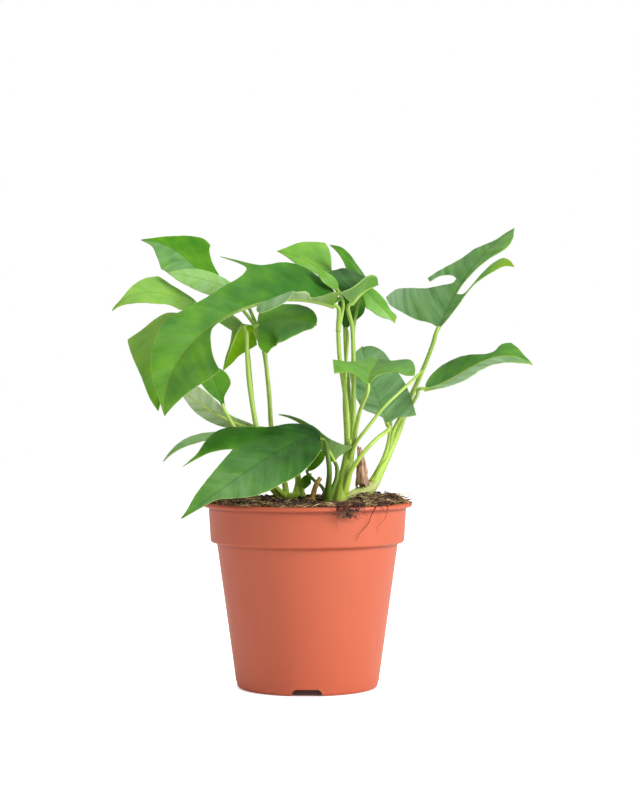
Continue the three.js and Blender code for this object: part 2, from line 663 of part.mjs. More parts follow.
    left: [[5, 3], [10.5, 8], [17.5, 11], [36, 10], [46.5, 7], [54, 3], [59, 1]],
    right: [[5.5, 4], [10, 5.5], [15.5, 6.5], [21, 5], [31, 3.5], [43.5, 2.5], [51, 4], [57, 4]],
  },
  {
    name: "leaf_bent_right",
    spine: [[32.6, 8, 228.7], [36, 9, 223], [44, 7, 217], [50, 2, 208.8]],
    face: [[0.3, -0.6, 0.75], [0.51, -0.61, 0.61]],
    fold: { left: [0, 0], right: [0, 0] },
    droop: { left: 0, right: 0.05 },
    left: [[3, 6.5], [5.5, 7.5], [12.5, 7.5], [19.5, 4.5], [23.5, 5]],
    right: [[1.5, 4], [6, 6.5], [11, 10], [13, 9], [20, 7.5], [23, 5.5], [25.5, 1.5]],
  },
  {
    name: "leaf_young_left",
    spine: [[-2.6, 0, 112.9], [-2, 0, 117], [-2, 0, 120], [2, 0, 121.5]],
    face: [[0, -0.85, 0.53], [0, -0.85, 0.53]],
    fold: { left: [0, 0], right: [0, 0] },
    droop: { left: 0, right: 0 },
    left: [[2.5, 1.5], [5.5, 2], [8, 1]],
    right: [[1, 2], [4, 4], [10, 3]],
  },
  {
    name: "leaf_young_front",
    spine: [[0.3, -2, 123.9], [4, -2, 127], [5, -2, 129], [10.1, -2, 135.4]],
    face: [[0, -0.85, 0.53], [0, -0.85, 0.53]],
    fold: { left: [0, 0], right: [0, 0] },
    droop: { left: 0, right: 0 },
    left: [[2.5, 2], [7, 3.5], [11.5, 2.5]],
    right: [[2, 2], [6, 3], [10.5, 3]],
  },
];
const leafByName = new Map(leaves.map((leaf) => [leaf.name, leaf]));

const NECK = 0.9; // half width where the blade meets the petiole
const TIP = 0.4; // half width of the drip tip
const LARGEST_FACET = 16;
const DROOP_REACH = 20; // a margin this far out hangs by the whole of droop

const midribOf = (leaf) => new THREE.CubicBezierCurve3(...leaf.spine.map(vector));

// A point of the blade from its place on the flat blade: mm along the midrib, mm out from it, to the left
// when negative, and mm above the blade's middle surface. Past an end of the midrib a lobe runs straight on.
function bladePoint(leaf, midrib, along, out, above) {
  const length = midrib.getLength();
  const share = THREE.MathUtils.clamp(along / length, 0, 1);
  const side = out < 0 ? "left" : "right";
  const tangent = midrib.getTangentAt(share);
  const facing = vector(leaf.face[0]).normalize().lerp(vector(leaf.face[1]).normalize(), share);
  const across = new THREE.Vector3().crossVectors(tangent, facing).normalize();
  const up = new THREE.Vector3().crossVectors(across, tangent);
  const fold = THREE.MathUtils.lerp(leaf.fold[side][0], leaf.fold[side][1], share);
  const droop = leaf.droop[side] / DROOP_REACH;
  const rise = fold * Math.abs(out) - droop * out ** 2;
  const steepness = Math.hypot(1, fold - 2 * droop * Math.abs(out));
  const place = midrib.getPointAt(share).addScaledVector(tangent, along - share * length);
  return place.addScaledVector(across, out).addScaledVector(up, rise + above * steepness);
}

// The flat blade as one sheet of triangles. x is mm out from the midrib and y is mm along it.
function flatBlade(leaf, length) {
  const halves = ["left", "right"].map((side) => {
    const sign = side === "left" ? -1 : 1;
    const outline = [[0, 0], [0, NECK], ...leaf[side], [length, TIP], [length, 0]];
    return new THREE.ShapeGeometry(
      new THREE.Shape(outline.map(([along, out]) => new THREE.Vector2(sign * out, along))),
    );
  });
  const fine = new TessellateModifier(LARGEST_FACET, 12).modify(mergeGeometries(halves));
  const sheet = new THREE.BufferGeometry();
  sheet.setAttribute("position", fine.attributes.position);
  return mergeVertices(sheet, 1e-3);
}

// The bent blade: the same triangles on its upper and lower face, and a rim between them.
function makeBlade(leaf) {
  const midrib = midribOf(leaf);
  const flat = flatBlade(leaf, midrib.getLength());
  const { position } = flat.attributes;
  const count = position.count;
  const points = new Float32Array(count * 6);
  for (let i = 0; i < count; i++) {
    for (const face of [0, 1]) {
      const above = (0.5 - face) * BLADE_THICKNESS;
      const place = bladePoint(leaf, midrib, position.getY(i), position.getX(i), above);
      place.toArray(points, 3 * (i + face * count));
    }
  }
  const upper = [...flat.index.array];
  const faces = [...upper];
  const edges = new Set();
  for (let i = 0; i < upper.length; i += 3) {
    const [a, b, c] = upper.slice(i, i + 3);
    faces.push(a + count, c + count, b + count);
    for (const [from, to] of [[a, b], [b, c], [c, a]]) edges.add(from + "," + to);
  }
  for (const edge of edges) {
    const [from, to] = edge.split(",").map(Number);
    if (edges.has(to + "," + from)) continue;
    faces.push(to, from, from + count, to, from + count, to + count);
  }
  const blade = new THREE.BufferGeometry();
  blade.setAttribute("position", new THREE.BufferAttribute(points, 3));
  blade.setIndex(faces);
  return blade;
}

// The last points of a petiole: in line with the midrib, ending just short of the blade.
function petioleEnd(leaf) {
  const midrib = midribOf(leaf);
  const ends = [JOINT_LENGTH, FIT_GAP + 0.3];
  return ends.map((distance) => midrib.getPointAt(0).addScaledVector(midrib.getTangentAt(0), -distance));
}

// ---- Dry bits at the foot of the plant -------------------------------------------------------------
const peg = {
  path: [[2.5, -17, 97], [2.7, -17, 107], [5, -16, 116], [7.5, -15, 120]],
  radii: [1.5, 1.6, 1.5, 1.3],
};
const sheath = {
  path: [[31.4, -3.4, 117.2], [31, -2.6, 124], [30.4, -1, 131], [29.4, 0, 138]],
  radii: [3.6, 2.9, 1.9, 0.8],
};

// ---- Assembly --------------------------------------------------------------------------------
const plant = new THREE.Group();

function add(name, geometry, kind) {
  const mesh = new THREE.Mesh(geometry, new THREE.MeshStandardMaterial({ ...finishes[kind], metalness: 0 }));
  mesh.name = name;
  plant.add(mesh);
}

add("pot", makePot(), "pot");
add("soil", makeSoil(), "soil");
for (const cutting of cuttings) add(cutting.name, makeCutting(cutting), "stem");
for (const leaf of leaves) add(leaf.name, makeBlade(leaf), "leaf");
add("dry_sheath", tube(sheath.path.map(vector), sheath.radii), "sheath");
add("cut_peg", tube(peg.path.map(vector), peg.radii), "peg");

export default plant;
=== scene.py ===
import bisect
import math
import random

import bmesh
import bpy
from mathutils import Matrix, Vector, noise


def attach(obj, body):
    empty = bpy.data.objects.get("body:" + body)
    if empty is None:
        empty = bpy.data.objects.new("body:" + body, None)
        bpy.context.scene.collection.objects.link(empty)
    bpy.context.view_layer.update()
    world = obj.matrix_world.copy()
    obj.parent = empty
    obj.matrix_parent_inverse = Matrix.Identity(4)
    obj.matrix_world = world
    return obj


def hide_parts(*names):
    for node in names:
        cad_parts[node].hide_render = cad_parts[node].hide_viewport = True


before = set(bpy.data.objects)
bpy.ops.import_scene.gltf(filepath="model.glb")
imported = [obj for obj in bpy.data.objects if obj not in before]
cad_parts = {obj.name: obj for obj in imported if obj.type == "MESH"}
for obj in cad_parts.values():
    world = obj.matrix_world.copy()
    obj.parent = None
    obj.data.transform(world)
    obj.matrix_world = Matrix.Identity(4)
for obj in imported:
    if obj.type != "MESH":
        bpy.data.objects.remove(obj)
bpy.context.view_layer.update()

# ---- Camera -------------------------------------------------------------------------------------
# A long lens, level with the middle of the plant and a little over a metre in front of it.
camera = bpy.data.objects.new("camera", bpy.data.cameras.new("camera"))
bpy.context.scene.collection.objects.link(camera)
camera.data.lens = 86.26
camera.location = (0.0072, -1.1, 0.164)
camera.rotation_euler = (math.radians(90), 0, 0)
bpy.context.scene.camera = camera


# ---- Studio -------------------------------------------------------------------------------------
# A white floor that glows a little, less so around the foot of the pot, where the fading glow paints a soft
# shadow, and a white room. The big soft light stands at the right, a weak one at the left, and a third hangs
# behind and above the plant.
FLOOR_RADIUS = 4
FLOOR_DROP = 0.0002
FLOOR_GLOW = 0.8
GLOW_FADES = (0.034, 0.044)  # distance from the pot's axis
ROOM_LIGHT = 0.38
LIGHT_AIM = (0, 0, 0.13)
LIGHTS = (  # name, place, size, watts
    ("light_right", (1.1, -0.75, 0.75), 0.8, 24),
    ("light_left", (-1.3, -0.9, 0.9), 1.0, 1.5),
    ("light_above", (-0.2, 0.55, 1.3), 1.0, 11),
)


def feed(tree, made, values):
    """Gives a node's inputs, by name or number, a value or the socket that feeds them."""
    for name, value in values.items():
        if isinstance(value, bpy.types.NodeSocket):
            tree.links.new(value, made.inputs[name])
        else:
            made.inputs[name].default_value = value


def put(tree, kind, values, **settings):
    """Adds a shader node of a kind."""
    made = tree.nodes.new("ShaderNode" + kind)
    for name, value in settings.items():
        setattr(made, name, value)
    feed(tree, made, values)
    return made


def calc(tree, operation, *values, clamp=False):
    """The result of a sum."""
    return put(tree, "Math", dict(enumerate(values)), operation=operation, use_clamp=clamp).outputs[0]


def remap(tree, value, low, high, at_low, at_high, kind="LINEAR"):
    """The value moved from the range low to high into the range at_low to at_high, and kept in it."""
    values = {0: value, 1: low, 2: high, 3: at_low, 4: at_high}
    return put(tree, "MapRange", values, interpolation_type=kind).outputs[0]


def clouds(tree, place, scale, detail, roughness=0.5):
    """Soft noise around 0.5."""
    values = {"Vector": place, "Scale": scale, "Detail": detail, "Roughness": roughness}
    return put(tree, "TexNoise", values).outputs["Fac"]


def here(tree):
    """The place on the piece, in metres."""
    return put(tree, "TexCoord", {}).outputs["Object"]


def new_finish(name):
    """A new material with a Principled shader, and its node tree."""
    material = bpy.data.materials.new(name)
    material.use_nodes = True
    tree = material.node_tree
    return material, tree, next(n for n in tree.nodes if n.type == "BSDF_PRINCIPLED")


def add_piece(name, bm, materials, crease=40):
    """Makes an object from a bmesh. Edges that turn by more than crease degrees stay sharp."""
    mesh = bpy.data.meshes.new(name)
    bm.to_mesh(mesh)
    bm.free()
    mesh.shade_smooth()
    mesh.set_sharp_from_angle(angle=math.radians(crease))
    for material in materials:
        mesh.materials.append(material)
    piece = bpy.data.objects.new(name, mesh)
    bpy.context.scene.collection.objects.link(piece)
    return piece


bm = bmesh.new()
bmesh.ops.create_circle(bm, cap_ends=True, segments=64, radius=FLOOR_RADIUS)
bmesh.ops.translate(bm, verts=bm.verts, vec=(0, 0, -FLOOR_DROP))
floor_paint, tree, shader = new_finish("pale_floor")
shade = remap(tree, clouds(tree, here(tree), 50.0, 2.0), 0.0, 1.0, 0.92, 0.95)
pale = put(tree, "CombineColor", {i: shade for i in range(3)}).outputs[0]
far = put(tree, "VectorMath", {0: here(tree)}, operation="LENGTH").outputs["Value"]
# Painted shadow: the glow fades out close to the pot's axis, so the floor under and around the foot looks
# shaded.
glow = remap(tree, far, *GLOW_FADES, 0.0, FLOOR_GLOW, "SMOOTHSTEP")
seen = put(tree, "LightPath", {}).outputs["Is Camera Ray"]
feed(tree, shader, {
    "Base Color": pale, "Emission Color": pale, "Roughness": 0.9,
    "Emission Strength": calc(tree, "MULTIPLY_ADD", seen, glow, 0.02),
})
add_piece("floor", bm, [floor_paint])

world = bpy.data.worlds.new("white_room")
world.use_nodes = True
tree = world.node_tree
tree.nodes.clear()
seen = put(tree, "LightPath", {}).outputs["Is Camera Ray"]
strength = remap(tree, seen, 0.0, 1.0, ROOM_LIGHT, 1.0)
glow = put(tree, "Background", {"Color": (1, 1, 1, 1), "Strength": strength})
put(tree, "OutputWorld", {"Surface": glow.outputs[0]})
bpy.context.scene.world = world
bpy.context.scene.view_settings.view_transform = "Standard"

for name, place, size, watts in LIGHTS:
    light = bpy.data.objects.new(name, bpy.data.lights.new(name, "AREA"))
    light.data.size = size
    light.data.energy = watts
    light.visible_glossy = name != "light_above"
    light.location = place
    light.rotation_euler = (Vector(LIGHT_AIM) - Vector(place)).to_track_quat("-Z", "Y").to_euler()
    bpy.context.scene.collection.objects.link(light)


# ---- Nursery pot --------------------------------------------------------------------------------
# One injection-moulded shell of terracotta-coloured polypropylene: a tapered body, a stepped collar
# and a rolled lip. Four notches in the foot and eight holes in the raised floor let water out.
POT_OUTSIDE = [  # radius and height in mm
    (0, 0), (17, 0), (19, 3.8), (35.9, 3.8), (36.5, 0), (39.5, 0), (40.7, 1.4), (51.8, 81.6), (52.8, 82.4),
    (54.9, 83), (55.5, 83.8), (56.6, 102.7), (59.5, 103.2), (60, 103.9), (59.8, 105.1), (59.2, 105.5),
]
POT_INSIDE = [(55.8, 105.5), (54.3, 84.8), (50.6, 83.2), (39.9, 5), (18.2, 5), (16.2, 1.2), (0, 1.2)]
POT_SIDES = 144
NOTCH = [(-9, -1), (9, -1), (8, 2.4), (6.4, 3.75), (-6.4, 3.75), (-8, 2.4)]  # across and up, in mm
NOTCH_START, NOTCH_DEPTH = 0.0353, 0.008
HOLES, HOLE_RADIUS, HOLE_RING = 8, 0.0032, 0.02715
# Painted shade: thin darker rings where shade falls under the lip and under the collar.
SHADE_RINGS = (0.1023, 0.0820)  # heights, under the lip and under the collar
ROUNDED_FROM = 14  # degrees that an edge turns
ROUNDING = 0.0004


def paint(red, green, blue):
    """A colour from its usual 0 to 255 values."""
    shares = [value / 255 for value in (red, green, blue)]
    return (*[c / 12.92 if c <= 10 / 255 else ((c + 0.055) / 1.055) ** 2.4 for c in shares], 1)


def mix(tree, share, a, b):
    """The colours a and b, mixed."""
    return put(tree, "Mix", {"Factor": share, "A": a, "B": b}, data_type="RGBA").outputs["Result"]


def bump(tree, height, strength, distance):
    """The surface's normal, bent by a height."""
    values = {"Height": height, "Strength": strength, "Distance": distance}
    return put(tree, "Bump", values).outputs[0]


def stretch(tree, place, scale):
    """The place with each of its axes scaled."""
    return put(tree, "Mapping", {"Vector": place, "Scale": scale}).outputs[0]


def turn_profile(profile, sides):
    """A round solid from its profile in mm, which starts and ends on the axis."""
    bm = bmesh.new()
    line = [bm.verts.new((r / 1000, 0, z / 1000)) for r, z in profile]
    edges = [bm.edges.new(pair) for pair in zip(line, line[1:])]
    bmesh.ops.spin(bm, geom=line + edges, axis=(0, 0, 1), angle=math.tau, steps=sides, use_merge=True)
    bmesh.ops.remove_doubles(bm, verts=bm.verts, dist=1e-6)
    bmesh.ops.recalc_face_normals(bm, faces=bm.faces)
    return bm


def thicken(bm, faces, shift):
    """Extrudes faces by a shift."""
    far = bmesh.ops.extrude_face_region(bm, geom=faces)["geom"]
    bmesh.ops.translate(bm, verts=[v for v in far if isinstance(v, bmesh.types.BMVert)], vec=shift)


bm = turn_profile(POT_OUTSIDE + POT_INSIDE, POT_SIDES)
rings = [
    e for e in bm.edges
    if abs(e.verts[0].co.z - e.verts[1].co.z) < 1e-6
    and len(e.link_faces) == 2
    and e.calc_face_angle() > math.radians(ROUNDED_FROM)
    and e.verts[0].co.xy.length > 0.01
]
bmesh.ops.bevel(
    bm, geom=rings, offset=ROUNDING, segments=3, profile=0.5, affect="EDGES", clamp_overlap=True, material=-1
)
bmesh.ops.remove_doubles(bm, verts=bm.verts, dist=1e-6)
pot = add_piece("nursery_pot", bm, [])

bm = bmesh.new()
for _ in range(4):
    face = bm.faces.new([bm.verts.new((x / 1000, -NOTCH_START, z / 1000)) for x, z in NOTCH])
    thicken(bm, [face], (0, -NOTCH_DEPTH, 0))
    bmesh.ops.rotate(bm, verts=bm.verts, cent=(0, 0, 0), matrix=Matrix.Rotation(math.pi / 2, 3, "Z"))
for number in range(HOLES):
    turn = (number + 0.5) * math.tau / HOLES
    place = Matrix.Translation((HOLE_RING * math.cos(turn), HOLE_RING * math.sin(turn), 0.0045))
    bmesh.ops.create_cone(
        bm, cap_ends=True, segments=32, radius1=HOLE_RADIUS, radius2=HOLE_RADIUS, depth=0.004, matrix=place
    )
bmesh.ops.recalc_face_normals(bm, faces=bm.faces)
cutter = add_piece("pot_cutter", bm, [])
cut = pot.modifiers.new("notches", "BOOLEAN")
cut.operation, cut.solver, cut.object = "DIFFERENCE", "EXACT", cutter
cut_mesh = bpy.data.meshes.new_from_object(pot.evaluated_get(bpy.context.evaluated_depsgraph_get()))
pot.modifiers.clear()
pot.data = cut_mesh
cut_mesh.name = "nursery_pot"
cut_mesh.set_sharp_from_angle(angle=math.radians(40))
bpy.data.objects.remove(cutter)

pot_plastic, tree, shader = new_finish("terracotta_plastic")
place = here(tree)
cloud = clouds(tree, place, 26.0, 3.0, 0.55)
grain = clouds(tree, place, 1500.0, 2.0)
flow = clouds(tree, stretch(tree, place, (1.0, 1.0, 0.04)), 240.0, 3.0)
body = mix(tree, cloud, paint(190, 89, 56), paint(198, 95, 61))
moulded = mix(tree, remap(tree, flow, 0.35, 0.75, 0.0, 0.08), body, paint(178, 78, 52))
specks = put(tree, "TexVoronoi", {"Vector": place, "Scale": 330.0}).outputs["Distance"]
dots = remap(tree, specks, 0.07, 0.13, 0.5, 0.0)
dust = calc(tree, "MULTIPLY", dots, remap(tree, cloud, 0.56, 0.66, 0.0, 1.0))
shown = mix(tree, dust, moulded, paint(120, 66, 48))
height = put(tree, "SeparateXYZ", {0: place}).outputs["Z"]
# Painted shade in the grooves under the lip and under the collar.
for ring in SHADE_RINGS:
    apart = calc(tree, "ABSOLUTE", calc(tree, "SUBTRACT", height, ring))
    shown = mix(tree, remap(tree, apart, 0.0002, 0.0014, 0.55, 0.0), shown, paint(140, 58, 40))
feed(tree, shader, {
    "Base Color": shown,
    "Roughness": remap(tree, flow, 0.0, 1.0, 0.42, 0.52),
    "Normal": bump(tree, calc(tree, "ADD", flow, grain), 0.06, 0.0002),
})
pot.data.materials.append(pot_plastic)
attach(pot, "root")
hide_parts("pot")


# ---- Potting soil -------------------------------------------------------------------------------
# Damp peat with fibres and bits of bark, pressed in around the roots and heaped a little at the back
# right. Its lumpy top ends just under the lip, and the ball below it fills the pot.
SOIL_RADIUS, WALL_RADIUS = 55.4, 56.6
SOIL_HEIGHT, SOIL_DOME, SOIL_TILT = 104.6, 2, 0.7
SOIL_RINGS, SOIL_SIDES = 80, 260
SOIL_BALL = [(54.2, 86), (50.3, 83.5), (39.6, 5.3), (0, 5.3)]  # radius and height below the top, in mm
BACK_HEAP = ((50, 10), 3.8, 450)  # place, height and spread


def heap_rise(x, y, place, height, spread):
    """How far a rounded heap rises at a place."""
    return height * math.exp(-((x - place[0]) ** 2 + (y - place[1]) ** 2) / spread)


def soil_top(x, y):
    """The height of the soil at a place, all in mm."""
    lumps = (
        math.sin(0.31 * x + 0.8) * math.cos(0.27 * y - 0.4)
        + 0.6 * math.sin(0.63 * x - 0.52 * y + 2.1)
        + 0.4 * math.cos(0.9 * x + 0.71 * y)
    )
    inside = 1 - (math.hypot(x, y) / WALL_RADIUS) ** 4
    dome = inside * (SOIL_DOME + 0.6 * lumps)
    return SOIL_HEIGHT + dome + heap_rise(x, y, *BACK_HEAP) + SOIL_TILT * y / WALL_RADIUS


def crumbly_top(x, y):
    """The height of the crumbs at a place, all in mm."""
    coarse = noise.fractal(Vector((x, y, 3)) / 4.5, 0.8, 2.0, 3)
    fine = noise.noise(Vector((x, y, 9)) / 0.9)
    return soil_top(x, y) + 0.9 * coarse + 0.35 * fine


top = [(SOIL_RADIUS * i / SOIL_RINGS, 105) for i in range(SOIL_RINGS + 1)]
bm = turn_profile(top + SOIL_BALL, SOIL_SIDES)
for vert in bm.verts:
    if vert.co.z > 0.1:
        x, y = vert.co.x * 1000, vert.co.y * 1000
        edge = max(0.0, math.hypot(x, y) - 52) / 3.4
        vert.co.z = (crumbly_top(x, y) - 1.2 * edge) / 1000

peat, tree, shader = new_finish("peat_soil")
place = here(tree)
damp = clouds(tree, place, 90.0, 6.0, 0.7)
crumbs = put(tree, "TexVoronoi", {"Vector": place, "Scale": 620.0}).outputs
body = mix(tree, damp, paint(26, 18, 13), paint(86, 62, 42))
pale = remap(tree, crumbs["Color"], 0.72, 0.95, 0.0, 0.75)
feed(tree, shader, {
    "Base Color": mix(tree, pale, body, paint(142, 108, 68)),
    "Roughness": 0.9,
    "Normal": bump(tree, calc(tree, "ADD", crumbs["Distance"], damp), 0.8, 0.0006),
})
soil = add_piece("potting_soil", bm, [peat], crease=80)
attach(soil, "root")
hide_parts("soil")


# ---- Crumbs on the soil -------------------------------------------------------------------------
# Loose peat crumbs of half a millimetre to three and bark bits of up to six. They lie thickest on a small
# mound in front of the creeping shoot and where soil has been pushed over the lip at the front right.
CRUMBS, BARK_BITS = 3700, 110
PILED_CRUMBS = 1500  # the rest lie all over
BATCH = 100  # small batches are much faster to make
MOUND = ((32, -13), 4.2, 45)
LIP_TOP = 105.8
chance = random.Random(12)


def on_circle(turn, far, high):
    """A place from its angle, distance from the pot's axis and height."""
    return far * math.cos(turn), far * math.sin(turn), high


def soil_spot(reach=54.5):
    """A place on the soil, a little more often near its edge."""
    turn = chance.uniform(0, math.tau)
    return on_circle(turn, reach * chance.random() ** 0.42, 0)[:2]


def lip_spot():
    """A place on the spill over the front right of the lip, as x, y and z."""
    turn = math.radians(chance.triangular(-72, -28, -66 if chance.random() < 0.5 else -44))
    far = chance.uniform(52.5, 60.2)
    return on_circle(turn, far, 106.2 + chance.uniform(-0.3, 2.0) * (1 - abs(far - 56) / 6))


def rim_spot():
    """A place on the inner edge of the lip, all round, as x, y and z."""
    turn = chance.uniform(0, math.tau)
    far = chance.triangular(53.5, 58.4, 55)
    return on_circle(turn, far, LIP_TOP + chance.uniform(0, 0.5))


def clump_spot():
    """A place in the tangle of peat that hangs over the lip, as x, y and z."""
    turn = math.radians(chance.gauss(-68.2, 2.9))
    drop = chance.random()
    far = 57.6 + 3.2 * math.sin(min(drop * 2.4, 1.9)) - 1.2 * chance.random()
    return on_circle(turn, far, 107.4 - 7.2 * drop)


def mound_spot():
    """A place on the small mound, as x, y and z."""
    x, y = chance.gauss(32, 5), chance.gauss(-14, 6)
    return x, y, crumbly_top(x, y) + max(heap_rise(x, y, *MOUND) - 0.7, 0.1)


def pour(bm, part):
    """Moves all of part into bm."""
    mesh = bpy.data.meshes.new("part")
    part.to_mesh(mesh)
    part.free()
    bm.from_mesh(mesh)
    bpy.data.meshes.remove(mesh)


def own(tree, name, part="Fac"):
    """A value that the vertices of the piece carry."""
    return put(tree, "Attribute", {}, attribute_name=name).outputs[part]


def ramp(tree, value, stops):
    """A colour from a ramp with a colour at each stop."""
    made = put(tree, "ValToRGB", {"Fac": value})
    spots = made.color_ramp.elements
    for number, (stop, colour) in enumerate(stops):
        spot = spots[number] if number < 2 else spots.new(stop)
        spot.position, spot.color = stop, paint(*colour)
    return made.outputs["Color"]


heap = bmesh.new()
bm = bmesh.new()
bm.verts.layers.float.new("damp")
bmesh.ops.create_grid(bm, x_segments=36, y_segments=36, size=12)
for vert in bm.verts:
    x, y = vert.co.x + MOUND[0][0], vert.co.y + MOUND[0][1]
    vert.co = (x, y, crumbly_top(x, y) + heap_rise(x, y, *MOUND) - 0.9)
thicken(bm, bm.faces[:], (0, 0, -1))
bmesh.ops.recalc_face_normals(bm, faces=bm.faces)
CRUMB_SPOTS = (lip_spot, rim_spot, rim_spot, mound_spot, mound_spot, mound_spot, lip_spot, clump_spot)
for number in range(CRUMBS):
    if number % BATCH == 0:
        pour(heap, bm)
        bm = bmesh.new()
        damp = bm.verts.layers.float.new("damp")
    size = 0.25 + 0.6 * chance.random() ** 3 + (0.8 if chance.random() < 0.02 else 0)
    kind = None
    if number < PILED_CRUMBS:
        kind = CRUMB_SPOTS[number % 8]
        x, y, z = kind()
    else:
        x, y = soil_spot()
        z = crumbly_top(x, y) + 0.3 * size
    turn = Matrix.Rotation(chance.uniform(0, math.tau), 4, Vector([chance.gauss(0, 1) for _ in range(3)]))
    flat = Matrix.Diagonal((size, size * chance.uniform(0.6, 1), size * chance.uniform(0.35, 0.8), 1))
    place = Matrix.Translation((x, y, z)) @ turn @ flat
    for vert in bmesh.ops.create_icosphere(bm, subdivisions=1, radius=1, matrix=place)["verts"]:
        vert.co += Vector([chance.uniform(-0.22, 0.22) * size for _ in range(3)])
        vert[damp] = float(kind is clump_spot)
for number in range(BARK_BITS):
    x, y = soil_spot(52)
    long, wide = chance.uniform(1.2, 3.2), chance.uniform(0.5, 1.1)
    place = Matrix.Translation((x, y, crumbly_top(x, y) + 0.5))
    place = place @ Matrix.Rotation(chance.uniform(0, math.tau), 4, "Z")
    place = place @ Matrix.Rotation(chance.gauss(0, 0.35), 4, "X")
    place = place @ Matrix.Rotation(chance.gauss(0, 0.3), 4, "Y") @ Matrix.Diagonal((long, wide, 0.3, 1))
    for vert in bmesh.ops.create_cube(bm, size=2, matrix=place)["verts"]:
        vert.co += Vector([chance.uniform(-0.3, 0.3) for _ in range(3)])
pour(heap, bm)
bmesh.ops.scale(heap, verts=heap.verts, vec=(0.001, 0.001, 0.001))

crumb_bark, tree, shader = new_finish("peat_crumbs")
place = here(tree)
grain = clouds(tree, place, 1900.0, 4.0)
browns = ramp(tree, clouds(tree, place, 310.0, 2.0), (
    (0.44, (24, 17, 12)), (0.54, (60, 42, 28)), (0.62, (120, 86, 52)), (0.7, (196, 160, 104))
))
shaded = mix(tree, grain, browns, paint(40, 28, 20))
feed(tree, shader, {
    "Base Color": mix(tree, own(tree, "damp"), shaded, paint(40, 20, 13)),
    "Roughness": 0.88,
    "Normal": bump(tree, grain, 0.6, 0.0003),
})
crumb_heap = add_piece("soil_crumbs", heap, [crumb_bark], crease=30)
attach(crumb_heap, "root")


# ---- Fibres and fine roots ----------------------------------------------------------------------
# Coconut and peat fibres lie curled on the soil, and a few fine roots hang over the lip at the front
# right. Each is a thin round thread.
FIBRES, PILED_FIBRES = 1300, 700
FIBRE_BATCH = 25
LIP_RADIUS = 60.2


def smooth_path(points, spacing):
    """A smooth line through the points, with a point about every spacing."""
    points = [Vector(p) for p in points]
    ends = [2 * points[0] - points[1], *points, 2 * points[-1] - points[-2]]
    line = []
    for a, b, c, d in zip(ends, ends[1:], ends[2:], ends[3:]):
        ab, bc, cd = (max((q - p).length, 1e-6) ** 0.5 for p, q in ((a, b), (b, c), (c, d)))
        start = ((b - a) / ab - (c - a) / (ab + bc) + (c - b) / bc) * bc
        stop = ((c - b) / bc - (d - b) / (bc + cd) + (d - c) / cd) * bc
        count = max(1, math.ceil((c - b).length / spacing))
        for t in (i / count for i in range(count)):
            line.append(
                b * (2 * t**3 - 3 * t**2 + 1) + start * (t**3 - 2 * t**2 + t)
                + c * (3 * t**2 - 2 * t**3) + stop * (t**3 - t**2)
            )
    return [*line, points[-1]]


def grow_stalk(bm, line, radius_at, sides, groove_at=lambda share: 0.0):
    """Sweeps a round stalk along a line of points in mm. radius_at and groove_at take the share of the
    length. A groove runs along one side. Each vertex keeps its place on the straight stalk as grain."""
    grain = bm.verts.layers.float_vector["grain"]
    lengths = [0.0]
    for a, b in zip(line, line[1:]):
        lengths.append(lengths[-1] + (b - a).length)
    cap = bmesh.ops.create_circle(bm, cap_ends=True, segments=sides, radius=1)["verts"][0].link_faces[0]
    side = (line[1] - line[0]).orthogonal().normalized()
    for step, point in enumerate(line):
        ahead = (line[min(step + 1, len(line) - 1)] - line[max(step - 1, 0)]).normalized()
        side = (side - ahead * side.dot(ahead)).normalized()
        other = ahead.cross(side)
        share = lengths[step] / lengths[-1]
        if step:
            far = bmesh.ops.extrude_face_region(bm, geom=[cap, *cap.edges])["geom"]
            cap = next(f for f in far if isinstance(f, bmesh.types.BMFace))
        for number, vert in enumerate(cap.verts):
            turn = math.tau * number / sides
            bend = min(turn, math.tau - turn) / 0.55
            radius = radius_at(share) * (1 - groove_at(share) * math.exp(-bend * bend))
            vert.co = point + (side * math.cos(turn) + other * math.sin(turn)) * radius
            vert[grain] = (radius * math.cos(turn), radius * math.sin(turn), lengths[step])


def finish_mesh(bm):
    """Turns millimetres into metres, merges points that coincide and turns every face outward."""
    bmesh.ops.scale(bm, verts=bm.verts, vec=(0.001, 0.001, 0.001))
    bmesh.ops.remove_doubles(bm, verts=bm.verts, dist=1e-6)
    bmesh.ops.recalc_face_normals(bm, faces=bm.faces)


def strand_pattern():
    """Strands along the grain that the piece carries. The scale is how closely they lie on each axis."""
    group = bpy.data.node_groups.new("strands_along_grain", "ShaderNodeTree")
    group.interface.new_socket("Scale", in_out="INPUT", socket_type="NodeSocketVector")
    group.interface.new_socket("Detail", in_out="INPUT", socket_type="NodeSocketFloat")
    group.interface.new_socket("Strands", in_out="OUTPUT", socket_type="NodeSocketFloat")
    asked = group.nodes.new("NodeGroupInput").outputs
    place = stretch(group, own(group, "grain", "Vector"), asked["Scale"])
    found = clouds(group, place, 1.0, asked["Detail"])
    feed(group, group.nodes.new("NodeGroupOutput"), {"Strands": found})
    return group


def strands(tree, scale, detail):
    """The strands of the piece, as a value around 0.5."""
    return put(tree, "Group", {"Scale": scale, "Detail": detail}, node_tree=strand_group).outputs["Strands"]


def grained_finish(name, scale, detail, dark, light, strength, depth, rough):
    """Bark or wood with its grain along the stalk, from dark to light."""
    material, tree, shader = new_finish(name)
    grain = strands(tree, scale, detail)
    feed(tree, shader, {
        "Base Color": mix(tree, grain, paint(*dark), paint(*light)),
        "Roughness": rough,
        "Normal": bump(tree, grain, strength, depth),
    })
    return material


